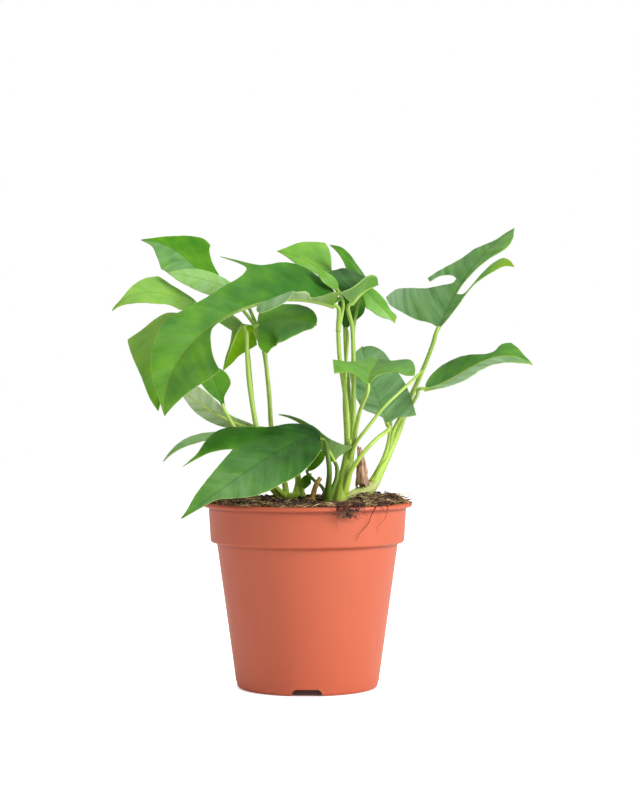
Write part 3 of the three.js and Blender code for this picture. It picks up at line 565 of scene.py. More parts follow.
tangle = bmesh.new()
bm = bmesh.new()
for number in range(FIBRES):
    if number % FIBRE_BATCH == 0:
        pour(tangle, bm)
        bm = bmesh.new()
        bm.verts.layers.float_vector.new("grain")
        damp = bm.verts.layers.float.new("damp")
    kind = None
    if number < PILED_FIBRES:
        kind = (lip_spot, rim_spot, rim_spot, clump_spot, mound_spot, rim_spot)[number % 6]
        x, y, z = kind()
    else:
        x, y = soil_spot()
        z = crumbly_top(x, y) + 0.5
    heading = chance.uniform(0, math.tau)
    thread = [Vector((x, y, z))]
    for _ in range(chance.randint(3, 6)):
        heading += chance.gauss(0, 0.7)
        hop = chance.uniform(1.0, 2.4)
        step = Vector((math.cos(heading) * hop, math.sin(heading) * hop, chance.gauss(0.05, 0.45)))
        point = thread[-1] + step
        if point.xy.length < 54:
            point.z = max(point.z, crumbly_top(point.x, point.y) + 0.15)
        elif point.xy.length < LIP_RADIUS and point.z > 104.5:
            point.z = max(point.z, LIP_TOP + 0.1)
        else:
            point.xy *= (LIP_RADIUS + 0.4) / point.xy.length
        thread.append(point)
    thick = chance.uniform(0.1, 0.24)
    known = len(bm.verts)
    grow_stalk(bm, smooth_path(thread, 1.6), lambda share: thick * (1.15 - 0.7 * share), 4)
    for vert in list(bm.verts)[known:]:
        vert[damp] = 0.85 * (kind is clump_spot) + 0.3 * (kind is lip_spot)
pour(tangle, bm)
finish_mesh(tangle)

strand_group = strand_pattern()
straw, tree, shader = new_finish("dry_fibre")
browns = ramp(tree, clouds(tree, here(tree), 160.0, 2.0), (
    (0.4, (66, 38, 24)), (0.5, (140, 100, 60)), (0.62, (218, 190, 136))
))
feed(tree, shader, {
    "Base Color": mix(tree, own(tree, "damp"), browns, paint(74, 34, 20)),
    "Roughness": 0.75,
    "Normal": bump(tree, strands(tree, (8.0, 8.0, 0.6), 2.0), 0.4, 0.0001),
})
fibres = add_piece("soil_fibres", tangle, [straw], crease=80)
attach(fibres, "root")

HANGING_ROOTS = [  # radius, and the points it runs through, in mm
    (0.2, [(20.5, -52, 106.8), (20.8, -55.7, 106.4), (19.2, -57.8, 104), (17.3, -56.6, 100.3),
        (16.1, -55.5, 98.6), (16.1, -55.2, 96.2), (18, -54.3, 92.4)]),
    (0.42, [(20.5, -54, 106.8), (21.3, -57, 104.4), (23.7, -56.4, 102), (25.7, -54.8, 100.2),
        (28.4, -52.2, 98.4)]),
    (0.3, [(38, -42, 106.8), (38.6, -45.2, 106.2), (37.1, -48.1, 103.6), (35.4, -47.4, 100.7),
        (33.9, -46.4, 96.4), (32.3, -47.2, 94.3), (28.8, -49.3, 90.5), (26.9, -50.2, 86.8)]),
    (0.16, [(42, -38, 106.6), (44.6, -40.4, 105), (43.9, -41.2, 101), (42.6, -39.6, 97.6),
        (39.4, -41.8, 93.9), (38.7, -42.1, 91.5)]),
    (0.2, [(39.5, -41, 107), (40.8, -44.2, 106.6), (41.9, -44, 103.9), (43.1, -42.6, 101.1)]),
    (0.2, [(30.6, -48, 107), (31.3, -51.4, 106), (31.6, -52, 103.3), (30.4, -51.6, 100.8)]),
    (0.26, [(52, -6, 108.4), (54.5, -6, 109.2), (56.5, -5.4, 108.3), (59.4, -5, 110.2)]),
]
bm = bmesh.new()
bm.verts.layers.float_vector.new("grain")
for thick, points in HANGING_ROOTS:
    grow_stalk(bm, smooth_path(points, 0.8), lambda share: thick * (1.1 - 0.75 * share), 6)
finish_mesh(bm)
root_bark = grained_finish(
    "root_bark", (1.2, 1.2, 1.2), 3.0, (58, 24, 14), (128, 70, 42), strength=0.5, depth=0.0001, rough=0.8
)
roots = add_piece("hanging_roots", bm, [root_bark], crease=80)
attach(roots, "root")


# ---- Leaf blades --------------------------------------------------------------------------------
# Each leaf is one thin, tough blade, and the large ones have deep cuts between their lobes. It grew flat
# and is bent along its midrib. Its underside is paler, with a ridge that goes on from the petiole.
#   spine: control points of the midrib's Bezier curve. face: where the upper side looks, base and tip.
#   fold: how a half rises at base and tip. droop: how its margin hangs, left and right.
#   What is given once for face, fold, tone or bloom_and_sheen holds for both ends or both halves.
#   left, right: the outline of each half of the flat blade, mm along the midrib and mm out from it.
#   tone (dark 0 to yellow-green 1, partly painted glow of backlit blades and painted shade) and
#   bloom_and_sheen (a waxy grey film, partly painted sheen of the lights): evenly spread from base to tip.
#   rib: how pale the midrib is above. edge: tone and bloom_and_sheen added 30 mm out, left and right.
PLAIN_LEAF = dict(fold=(0.1, 0.1), droop=(0.08, 0.08), rib=(0.2, 0.2), edge=((0, 0), (0, 0)))
LEAVES = {
    "leaf_arching": dict(
        spine=[(14.6, -15, 217.5), (-27, -25, 232), (-80, -67, 198), (-76.6, -64, 155.9)],
        face=((0.1, -0.45, 0.89), (-0.31, -0.94, 0.1)), fold=((1.5, -0.1), (0.35, 0.25)), droop=(0.1, 0.05),
        tone=((0.85, 0.6, 0.5, 0.45, 0.45, 0.5, 0.55, 0.55, 0.55), (0.26, 0.36, 0.42, 0.52, 0.58)),
        bloom_and_sheen=((0.1, 0.9, 1, 0.8, 0.3, 0.1, 0.1, 0.1, 0.1), (0.02, 0.08, 0.15, 0.15, 0.12)),
        rib=(1, 1, 0.5, 0.3, 0.3),
        left=[(1.5, 8.5), (5, 7.5), (10, 3.5), (14.5, 1.8), (17.5, 4.8), (21.5, 7), (29, 8.8), (40.5, 26),
            (48.5, 30.5), (52, 29), (57, 26), (60.5, 23), (60, 18), (52.5, 8.5), (50, 4), (54, 2),
            (66, 1.8), (74, 1.2), (80.5, 3), (91, 12), (98.5, 19.5), (103.5, 26), (113.5, 21), (124, 12.5),
            (132, 6)],
        right=[(-4, 6.5), (4.5, 16.5), (13, 26), (21, 28.5), (33.5, 25.5), (44, 33), (49, 37.5), (42.5, 29),
            (41, 25.5), (43.5, 22), (49.5, 19), (58.5, 17), (67.5, 15.5), (80, 16), (92.5, 19), (102, 17.5),
            (113, 13), (121, 8.5), (130.5, 3)],
    ),
    "leaf_front": dict(
        spine=[(7.2, -20, 142), (-5, -29, 147), (-38, -50, 121), (-68, -56, 99.7)],
        face=((-0.2, -0.61, 0.76), (-0.3, -0.81, 0.51)), droop=(0.1, 0.1),
        tone=((0.02, 0.2, 0.44, 0.5), (0.04, 0.22, 0.46, 0.5)),
        bloom_and_sheen=((0, 0.14, 0.45, 0.25), (0, 0.12, 0.36, 0.12)), rib=(0, 0, 0.05),
        edge=((0.05, -0.1), (0.03, -0.3)),
        left=[(2, 6), (7, 12.5), (17, 19), (25, 22), (35, 23.5), (44, 21.5), (51, 20.5), (60, 16.5),
            (68, 10), (75, 4), (85, 2)],
        right=[(-4, 8), (0, 14), (6.5, 18.5), (19, 22.5), (28, 32.5), (33.5, 42), (39.5, 45), (48, 42.5),
            (63, 33.5), (75, 30.5), (65.5, 30), (57.5, 29), (50.5, 25), (45.5, 20), (50.5, 18), (60, 15),
            (71.5, 11), (82, 7), (91.5, 2)],
    ),
    "leaf_hanging_left": dict(
        spine=[(-70.1, 6, 214.8), (-84, 7, 208), (-85, -11, 178), (-84.9, -10, 158.3)],
        face=((-0.41, -0.51, 0.76), (-0.4, -0.91, 0.1)), tone=((0.9, 0.6), (1, 0.6)),
        bloom_and_sheen=((0.45, 0.02), (0.45, 0)),
        left=[(3, 6), (9, 12), (18, 16), (30, 15), (42, 10), (53, 4)],
        right=[(3, 2.5), (6.5, 12), (9.5, 15.5), (16.5, 22), (21, 28.5), (28, 22.5), (42, 12.5),
            (57.5, 4.5)],
    ),
    "leaf_far_left": dict(
        spine=[(-63.3, 8, 217.2), (-80, 6, 227), (-99, -11, 230), (-109.9, -16, 214.9)],
        face=((0, -0.6, 0.8), (-0.3, -0.51, 0.81)), fold=((0, 0), (0.25, 0.25)),
        tone=((0.8, 0.85), (0.8, 0.8)), bloom_and_sheen=((0.35, 0.2), (0.4, 0.2)), rib=(0.5, 0.3),
        left=[(5, 6), (12, 10.5), (20.5, 11.5), (34.5, 14.5), (46.5, 9.5), (53.5, 2.5)],
        right=[(3, 3.5), (9.5, 6), (16.5, 9.5), (22, 16), (28.5, 14), (36.5, 9), (48, 2)],
    ),
    "leaf_upper_left": dict(
        spine=[(-41.7, 16, 226.9), (-55, 15, 233), (-67, 11, 236), (-79.8, 4, 237.1)],
        face=((0.1, -0.6, 0.8), (-0.1, -0.6, 0.8)), fold=((-0.1, -0.1), (0.1, 0.1)), tone=(0.75, 0.8),
        bloom_and_sheen=(0.7, 0.6), rib=(0.4, 0.3),
        left=[(1.5, 8.5), (8, 11), (15.5, 11), (28.5, 10), (37.5, 6)],
        right=[(5, 5.5), (12, 8), (19.5, 9), (26.5, 8), (34, 4.5)],
    ),
    "leaf_top_left": dict(
        spine=[(-55.5, 34, 233.2), (-70, 36, 241), (-73, 32, 256), (-97, 22, 257.6)],
        face=((0.25, -0.6, 0.76), (0.1, -0.7, 0.7)), fold=((0.05, 0.05), (0.15, 0.15)),
        tone=((0.4, 0.4), (0.48, 0.48)), bloom_and_sheen=((0.35, 0.35), (0, 0)), rib=(0.15, 0.15),
        left=[(3.5, 9.5), (10, 13.5), (27, 20.5), (40.5, 22), (44, 12.5), (46, 4.5)],
        right=[(0.5, 7.5), (6, 11), (10.5, 13.5), (15, 18.5), (16.5, 24), (20, 24.5), (25, 19.5),
            (34.5, 9.5), (44.5, 3)],
    ),
    "leaf_small_hanging": dict(
        spine=[(-36.2, 0, 206), (-37, 4, 211.5), (-42, 9, 204), (-48.5, 9, 181.6)],
        face=((-0.1, 0.5, 0.85), (-0.31, 0.88, 0.36)), fold=((0.45, 0.1), (0.1, 0.1)),
        tone=((0.3, 1), (0.85, 1)), bloom_and_sheen=((0.2, 0), (0, 0)),
        left=[(2.5, 3), (4, 6.5), (5, 9), (6.5, 11), (9.5, 12), (9.8, 10), (10.2, 7.5), (11, 2.8),
            (18, 1.2), (27.5, 1)],
        right=[(2, 3), (4, 7), (6.5, 10), (10, 12.5), (14.5, 15.5), (19, 11.5), (23.5, 7), (29, 4)],
    ),
    "leaf_sheltered": dict(
        spine=[(-28.8, 12, 206.9), (-19, 16, 211), (-8, 12, 212), (4.9, 6, 207.3)],
        face=((0.2, -0.2, 0.96), (0.41, -0.41, 0.82)), fold=((0.3, 0.3), (-0.2, -0.2)), droop=(0.08, 0.1),
        tone=((0.5, 0.45), (0.45, 0.4)), bloom_and_sheen=((0, 0), (0, 0.15)),
        left=[(2, 5), (6.5, 16), (11, 21), (17, 22), (23, 18.5), (33, 6.5)],
        right=[(-3.5, 5.5), (-6, 10.5), (-9, 16.5), (-9, 20.5), (-7.5, 24), (-3, 21.5), (2, 21), (7, 22),
            (13, 24), (18.5, 25.5), (26.5, 23.5), (29.5, 19), (32, 14.5), (34.5, 9), (36.5, 5.5)],
    ),
    "leaf_small_left": dict(
        spine=[(-48.4, -6, 161.2), (-51, -6, 168), (-53, -6, 176), (-57.5, -6, 185.6)],
        face=((0, -0.85, 0.53), (0, -0.91, 0.41)), droop=(0, 0), tone=(0.45, 0.5), bloom_and_sheen=(0, 0.1),
        left=[(2, 1), (7.5, 4.5), (14.5, 7.5), (20.5, 8), (24.5, 4.5)],
        right=[(-1, 1), (4, 2.5), (8, 6.5), (10.5, 8.5), (14.5, 8.5), (18, 7), (22, 3.5)],
    ),
    "leaf_low_left": dict(
        spine=[(-27.9, 4, 147.9), (-43, 4, 150), (-59, -3, 159), (-73.8, -6, 171.4)],
        face=((0.1, 0.62, 0.78), (0, 0.6, 0.8)), droop=(0, 0), tone=(0.5, 0.5), bloom_and_sheen=(1.2, 1.2),
        rib=(0.3, 0.3),
        left=[(4.5, 2), (9, 3), (21, 4), (33, 8.5), (43.5, 9.5), (49, 6.5)],
        right=[(4, 2.5), (10, 5.5), (17.5, 9), (25, 10.5), (35, 9.5), (44, 5.5)],
    ),
    "leaf_narrow_left": dict(
        spine=[(-43.3, 12, 144.3), (-56, 10, 143), (-71, 0, 144), (-82.2, -2, 129.1)],
        face=((0, -0.15, 0.99), (-0.2, -0.15, 0.97)), fold=((0, 0), (0.1, 0.1)), tone=(0.6, 0.6),
        bloom_and_sheen=(0.6, 0.6), rib=(0.3, 0.3),
        left=[(4, 5), (11, 9), (19, 9), (27, 8), (37, 4)],
        right=[(4, 6), (11, 9), (19, 8.5), (27, 6.5), (37, 3)],
    ),
    "leaf_slanting": dict(
        spine=[(15.3, -14.5, 129.3), (10, -12, 140), (0, 0, 153), (-16.3, 12, 155.4)],
        face=((0, 0.99, 0.1), (0, 0.35, 0.94)), fold=((0, 0.1), (1.4, 0.2)), tone=((0.5, 0.4), (0.6, 0.4)),
        bloom_and_sheen=((0.35, 0.1), (0.4, 0.1)), rib=(0.3, 0.2),
        left=[(1, 3), (1.4, 6), (1.6, 10), (2.1, 13.3), (4.4, 10.2), (6, 8.4), (12.5, 4.5), (22, 3),
            (34, 3), (45, 2)],
        right=[(1, 1.5), (6, 3.5), (14, 5), (26, 5), (38, 4)],
    ),
    "leaf_cupped": dict(
        spine=[(25.2, -4, 219.5), (30, -5, 225), (33, 4, 228), (40.8, 12, 230.7)], face=(-0.35, 0, 0.94),
        fold=((1.1, 1.1), (0.9, 0.9)), droop=(0.15, 0.15), tone=((0.05, 0.12), (0.3, 0.36)),
        bloom_and_sheen=((0.1, 0.1), (0.25, 0)),
        left=[(2, 6), (12, 19), (17.5, 18), (23.5, 17), (25.5, 12.5), (25, 9), (26.5, 5)],
        right=[(0.5, 9.5), (1.5, 9), (3, 8), (6.5, 8), (10.5, 8.5), (22.5, 4.5)],
    ),
    "leaf_level": dict(
        spine=[(34, -30, 172.4), (34, -25, 180), (39, -10, 183), (41.2, 4, 187.6)],
        face=((0.05, -0.2, 0.98), (0, -0.2, 0.98)), fold=(0.3, 0.3), tone=((0.6, 0.55), (0.6, 0.5)),
        bloom_and_sheen=((0.2, 0.25), (0.25, 0.3)), rib=(0.4, 0.3),
        left=[(4, 6), (6, 11), (3, 19), (15, 22.5), (16.5, 15), (23, 9.5), (35.5, 5)],
        right=[(7, 5.5), (8.5, 13.5), (4.5, 21.5), (4.5, 26), (11.5, 25.5), (25.5, 19), (28, 8.5)],
    ),
    "leaf_shaded": dict(
        spine=[(46, 2, 150.2), (41, 12, 165), (35, 23, 176), (31.8, 24, 195.1)],
        face=((0.2, -0.84, 0.5), (0.1, -0.8, 0.6)), fold=((0.05, 0.05), (0.1, 0.1)), tone=(0.2, 0.25),
        bloom_and_sheen=(0.5, 0.4), rib=(0.15, 0.15),
        left=[(4.5, 1), (8, 5), (13, 10.5), (20, 12), (31, 12), (41.5, 10), (50, 5)],
        right=[(0, 1), (3, 7), (2.5, 12.5), (3, 18.5), (14.5, 19.5), (25, 19.5), (36.5, 16.5), (47.5, 12.5),
            (52.5, 6)],
    ),
    "leaf_top_right": dict(
        spine=[(75.8, 10, 206), (85, 14, 226), (94, 18, 245), (120.7, 22, 264.1)],
        face=((-0.3, -0.81, 0.51), (-0.51, -0.61, 0.61)), fold=((0.1, 0.1), (0.15, 0.15)),
        tone=((0.35, 0.4), (0.3, 0.55)), bloom_and_sheen=((0.4, 0.35), (0.4, 0.3)), rib=(0.15, 0.15),
        edge=((0, 0.5), (1.4, -0.5)),
        left=[(1, 5.5), (0.5, 14.5), (2.5, 27), (5, 37), (9, 43), (14.5, 39.5), (17, 31.5), (20, 19),
            (25.5, 8.5), (28, 5), (31, 4.5), (32, 8), (29, 15.5), (24, 19.5), (25.5, 22.5), (29.5, 20),
            (35, 16), (44.5, 10.5), (51.5, 8.5), (56.5, 5.5), (63.5, 2), (69, 1.5)],
        right=[(3.5, 2.5), (15, 6), (28, 8.5), (34.5, 10.5), (45.5, 16.5), (51, 20), (54, 27), (56, 21.5),
            (55.5, 15.5), (51.5, 12.5), (43, 10), (36.5, 9), (24, 6), (22.5, 1), (29.5, 1.5), (42.5, 4),
            (50.5, 6.5), (63, 11), (70, 7.5)],
    ),
    "leaf_right": dict(
        spine=[(67.6, 2, 170.6), (86, 1, 172), (105, -3, 200), (127.7, -10, 184.2)],
        face=((-0.2, -0.5, 0.84), (0.41, -0.51, 0.76)), fold=((0.1, 0.1), (0.35, 0.35)),
        tone=((0.4, 0.45), (0.45, 0.45)), bloom_and_sheen=((0.15, 0.1), (1.2, 1.3, 0.3)), rib=(0.9, 0.6),
        left=[(1, 5.5), (5.5, 12.5), (13.5, 16), (23.5, 14.5), (32, 10.5), (39, 6), (43.5, 6), (47.5, 14),
            (51, 16), (55, 11), (59.5, 5)],
        right=[(3.5, 3.5), (9, 8), (17.5, 12), (27, 14.5), (36, 13), (43.5, 13.5), (51.5, 17), (62, 15.5)],
    ),
    "leaf_rear": dict(
        spine=[(45.2, 28, 169.9), (44.5, 38, 176), (43.6, 50, 177), (43.6, 60, 172)],
        face=((0.1, 0.1, 0.99), (0.19, 0.19, 0.96)), fold=(0.15, 0.15), droop=(0.1, 0.1), tone=(0.4, 0.5),
        bloom_and_sheen=(0.2, 0.2),
        left=[(1, 5), (4, 11), (10, 13), (19, 11), (27, 5)],
        right=[(1, 5), (4, 11), (10, 13), (19, 11), (27, 5)],
    ),
    "leaf_top_light": dict(
        spine=[(17.7, 29, 230.6), (5, 30, 244), (-4, 31, 248.6), (-17.5, 33, 252)], face=(0.2, -0.5, 0.84),
        tone=(0.65, 0.7), bloom_and_sheen=(0.3, 0.1), rib=(0.1, 0.1),
        left=[(2, 3.5), (7.5, 4.5), (17.5, 7), (27, 9.5), (36, 4.5)],
        right=[(4, 3.5), (9.5, 7.5), (14.5, 16.5), (19.5, 27), (24, 34), (29, 26), (34, 17.5), (38, 8)],
    ),
    "leaf_tiny": dict(
        spine=[(17.2, -8, 226.7), (13, -7, 231), (10, -10, 235), (6.3, -6, 238.5)],
        face=(0.31, -0.72, 0.62), fold=(0, 0), droop=(0, 0), tone=(0.6, 0.6), bloom_and_sheen=(0.2, 0.2),
        rib=(0.3, 0.3),
        left=[(4, 3), (9.5, 4.5), (13.5, 3)],
        right=[(2.5, 3.5), (6.5, 4.5), (12.5, 2.5)],
    ),
    "leaf_curved_tip": dict(
        spine=[(22.3, 15, 205.4), (19, 22, 218), (52, 34, 227.6), (13.6, 26, 254.8)],
        face=((0.21, -0.83, 0.52), (0.21, -0.64, 0.74)), droop=(0, 0), tone=(0.28, 0.4), bloom_and_sheen=(0.05, 0),
        rib=(0.3, 0.3),
        left=[(5, 3), (10.5, 8), (17.5, 11), (36, 10), (46.5, 7), (54, 3), (59, 1)],
        right=[(5.5, 4), (10, 5.5), (15.5, 6.5), (21, 5), (31, 3.5), (43.5, 2.5), (51, 4), (57, 4)],
    ),
    "leaf_bent_right": dict(
        spine=[(32.6, 8, 228.7), (36, 9, 223), (44, 7, 217), (50, 2, 208.8)],
        face=((0.3, -0.6, 0.75), (0.51, -0.61, 0.61)), fold=(0, 0), droop=(0, 0.05),
        tone=((0.5, 0.7), (0.5, 0.8)), bloom_and_sheen=((0.1, 0.2), (0.1, 0.7)),
        left=[(3, 6.5), (5.5, 7.5), (12.5, 7.5), (19.5, 4.5), (23.5, 5)],
        right=[(1.5, 4), (6, 6.5), (11, 10), (13, 9), (20, 7.5), (23, 5.5), (25.5, 1.5)],
    ),
    "leaf_young_left": dict(
        spine=[(-2.6, 0, 112.9), (-2, 0, 117), (-2, 0, 120), (2, 0, 121.5)], face=(0, -0.85, 0.53),
        fold=(0, 0), droop=(0, 0), tone=(0.6, 0.6), bloom_and_sheen=(0, 0), rib=(0.3, 0.3),
        left=[(2.5, 1.5), (5.5, 2), (8, 1)],
        right=[(1, 2), (4, 4), (10, 3)],
    ),
    "leaf_young_front": dict(
        spine=[(0.3, -2, 123.9), (4, -2, 127), (5, -2, 129), (10.1, -2, 135.4)], face=(0, -0.85, 0.53),
        fold=(0, 0), droop=(0, 0), tone=(0.6, 0.6), bloom_and_sheen=(0, 0), rib=(0.3, 0.3),
        left=[(2.5, 2), (7, 3.5), (11.5, 2.5)],
        right=[(2, 2), (6, 3), (10.5, 3)],
    ),
}
LOW_SIDE, THICKNESS = -0.25, 0.5  # of the flat blade, in mm
CELL = 1.25
VEIN_SPACING, FINE_SPACING = 7.5, 1.5
VEIN_LEAN, VEIN_ARCH = -0.62, -0.008  # side veins run forward, and more so far out
RIB_RADIUS = 0.95


def by_half(value):
    """A value for each half of a blade, or for its base and its tip."""
    return value if isinstance(value[0], tuple) else (value, value)


def spread(values, share):
    """The value at a share of the way along a list of evenly spread values."""
    place = share * (len(values) - 1)
    left = min(int(place), len(values) - 2)
    return values[left] + (values[left + 1] - values[left]) * (place - left)


def bender(leaf):
    """The midrib's length, and a function that puts a point of the flat blade in its bent place."""
    a, b, c, d = (Vector(p) for p in leaf["spine"])
    points, heads, lengths = [], [], [0.0]
    for t in (i / 240 for i in range(241)):
        s = 1 - t
        points.append(a * s**3 + b * 3 * s * s * t + c * 3 * s * t * t + d * t**3)
        heads.append(((b - a) * s * s + (c - b) * 2 * s * t + (d - c) * t * t).normalized())
        if len(points) > 1:
            lengths.append(lengths[-1] + (points[-1] - points[-2]).length)
    whole = lengths[-1]
    looks = [Vector(f).normalized() for f in leaf["face"]]

    def bend(out, along, above):
        share = min(max(along / whole, 0.0), 1.0)
        mark = min(bisect.bisect_right(lengths, share * whole), 240)
        part = (share * whole - lengths[mark - 1]) / (lengths[mark] - lengths[mark - 1])
        head = heads[mark - 1].lerp(heads[mark], part).normalized()
        across = head.cross(looks[0].lerp(looks[1], share)).normalized()
        up = across.cross(head)
        side = int(out > 0)
        wide = abs(out)
        fold = leaf["fold"][side][0] * (1 - share) + leaf["fold"][side][1] * share
        hang = leaf["droop"][side] / 20
        crease = 1 - math.exp(-wide / 0.9)
        rise = fold * wide * crease - hang * wide**2
        steep = math.hypot(1, (fold - 2 * hang * wide) * crease)
        vein = along + VEIN_LEAN * wide + VEIN_ARCH * wide**2
        wave = 0.06 * math.sin(vein * math.tau / VEIN_SPACING) * min(1.0, wide / 7)
        sway = noise.noise(Vector((along / 17, out / 13, leaf["spine"][0][0]))) * min(1.0, wide / 12)
        spot = points[mark - 1].lerp(points[mark], part) + head * (along - share * whole)
        return spot + across * out + up * (rise + wave + 0.6 * sway + above * steep)

    return whole, bend


def half_outline(corners):
    """Rounds the outline of one half of a blade, but keeps its sharp points sharp."""
    runs, run = [], [corners[0]]
    for before, corner, after in zip(corners, corners[1:], corners[2:]):
        run.append(corner)
        turn = (Vector(corner) - Vector(before)).angle(Vector(after) - Vector(corner))
        if turn > math.radians(66):
            runs.append(run)
            run = [corner]
    runs.append([*run, corners[-1]])
    line = []
    for run in runs:
        line += smooth_path(run, 1.3)[:-1]
    return [*line, Vector(corners[-1])]


def cut_blade(leaf, length):
    """The flat blade in mm: x is out from the midrib, y along it. Its faces are small enough to bend."""
    bm = bmesh.new()
    right = half_outline([(0, 0.9), *leaf["right"], (length, 0.4)])
    left = half_outline([(0, 0.9), *leaf["left"], (length, 0.4)])
    edge = [(p.y, p.x) for p in right] + [(0, length + 0.7)] + [(-p.y, p.x) for p in reversed(left)]
    bm.faces.new([bm.verts.new((out, along, LOW_SIDE)) for out, along in edge])
    low = min(along for _, along in edge)
    high = max(along for _, along in edge)
    reach = max(abs(out) for out, _ in edge)
    cuts = [((0, low + CELL * i, 0), (0, 1, 0)) for i in range(1, int((high - low) / CELL))]
    columns = [0.0, 0.35, 0.8, 1.4] + [2.2 + CELL * i for i in range(int(max(reach - 2.2, 0) / CELL))]
    cuts += [((side * out, 0, 0), (1, 0, 0)) for out in columns for side in (1, -1)]
    for spot, across in cuts:
        pieces = bm.verts[:] + bm.edges[:] + bm.faces[:]
        bmesh.ops.bisect_plane(bm, geom=pieces, plane_co=spot, plane_no=across)
    bmesh.ops.remove_doubles(bm, verts=bm.verts, dist=0.002)
    bmesh.ops.triangulate(bm, faces=[f for f in bm.faces if len(f.verts) > 4])
    return bm


def leaf_veins():
    """The vein pattern of a blade, from its flat place in mm."""
    group = bpy.data.node_groups.new("leaf_veins", "ShaderNodeTree")
    flat = own(group, "flat", "Vector")
    axes = put(group, "SeparateXYZ", {0: flat}).outputs
    wide = calc(group, "ABSOLUTE", axes["X"])
    arch = calc(group, "MULTIPLY_ADD", wide, VEIN_ARCH, VEIN_LEAN)
    lean = calc(group, "MULTIPLY_ADD", wide, arch, axes["Y"])
    vein = calc(group, "MULTIPLY_ADD", clouds(group, flat, 0.16, 1.0), 1.8, lean)

    def lines(spacing, thin):
        near = calc(group, "PINGPONG", calc(group, "MULTIPLY", vein, 1 / spacing), 0.5)
        return remap(group, near, 0.0, thin, 1.0, 0.0, "SMOOTHSTEP")

    side = lines(VEIN_SPACING, 0.075)
    rib = remap(group, wide, 0.25, 0.85, 1.0, 0.0, "SMOOTHSTEP")
    net = put(group, "TexVoronoi", {"Vector": flat, "Scale": 0.9}, feature="DISTANCE_TO_EDGE")
    cells = remap(group, net.outputs["Distance"], 0.0, 0.12, 1.0, 0.0)
    fine = calc(group, "MULTIPLY_ADD", cells, 0.15, lines(FINE_SPACING, 0.3))
    relief = calc(group, "MULTIPLY_ADD", side, 0.9, calc(group, "MULTIPLY", fine, 0.12))
    results = {
        "Midrib": rib, "Side Veins": side, "Fine Veins": fine,
        "Relief": calc(group, "MULTIPLY_ADD", rib, 3.0, relief),
        "Vein Place": put(group, "CombineXYZ", {0: vein, 1: axes["X"]}).outputs[0],
    }
    for name in results:
        kind = "NodeSocketVector" if name == "Vein Place" else "NodeSocketFloat"
        group.interface.new_socket(name, in_out="OUTPUT", socket_type=kind)
    feed(group, group.nodes.new("NodeGroupOutput"), results)
    return group


def blade_finish(name, greens, bloom_and_sheen_green, rib_greens, vein_share, rough, gloss, depth):
    """A blade surface. Its greens run from tone 0 to 1 under a waxy bloom that also paints the sheen of the
    lights, with the veins drawn and pressed in. rib_greens are the midrib's colour: a dark green that paints
    the shade in its crease, and a pale green where it is thick and pale."""
    material, tree, shader = new_finish(name)
    veins = put(tree, "Group", {}, node_tree=vein_group).outputs
    flat = own(tree, "flat", "Vector")
    pale_rib = own(tree, "rib")
    crease_shade_green, pale_green = (paint(*green) for green in rib_greens)
    patch = remap(tree, clouds(tree, flat, 0.07, 2.0), 0.3, 0.7, -0.13, 0.13)
    stops = [(i / (len(greens) - 1), green) for i, green in enumerate(greens)]
    # The tone ramp partly paints light: its yellow-green end the glow of blades lit from behind, its dark
    # end the shade on blades in shadow.
    green = ramp(tree, calc(tree, "ADD", own(tree, "tone"), patch), stops)
    # Painted sheen: pale streaks along the side veins, laid over the green as far as the bloom_and_sheen
    # value reaches.
    sheen_streaks = clouds(tree, stretch(tree, veins["Vein Place"], (0.2, 0.035, 1.0)), 1.0, 2.0)
    bloom_and_sheen_film = calc(tree, "MULTIPLY", remap(tree, sheen_streaks, 0.3, 0.7, 0.35, 1.1), own(tree, "bloom_and_sheen"), clamp=True)
    bloomed_and_sheened = mix(tree, bloom_and_sheen_film, green, paint(*bloom_and_sheen_green))
    drawn = calc(tree, "MULTIPLY", veins["Side Veins"], vein_share)
    drawn = calc(tree, "MULTIPLY_ADD", veins["Fine Veins"], vein_share * 0.3, drawn, clamp=True)
    veined = mix(tree, drawn, bloomed_and_sheened, mix(tree, 0.35, bloomed_and_sheened, pale_green))
    # Painted shade: the midrib is drawn dark where it lies in its crease, and pale where the rib value is
    # high.
    strong = calc(tree, "MULTIPLY", veins["Midrib"], remap(tree, pale_rib, 0.0, 1.0, 0.3, 0.85))
    ribbed = mix(tree, strong, veined, mix(tree, pale_rib, crease_shade_green, pale_green))
    margin = remap(tree, own(tree, "rim"), 0.6, 0.95, 0.0, 0.3)
    skin = clouds(tree, flat, 2.2, 2.0)
    feed(tree, shader, {
        "Base Color": mix(tree, margin, ribbed, pale_green),
        "Roughness": remap(tree, skin, 0.0, 1.0, rough - 0.05, rough + 0.06),
        "Normal": bump(tree, calc(tree, "MULTIPLY_ADD", skin, 0.04, veins["Relief"]), 0.2, depth),
        "Specular IOR Level": gloss,
    })
    return material


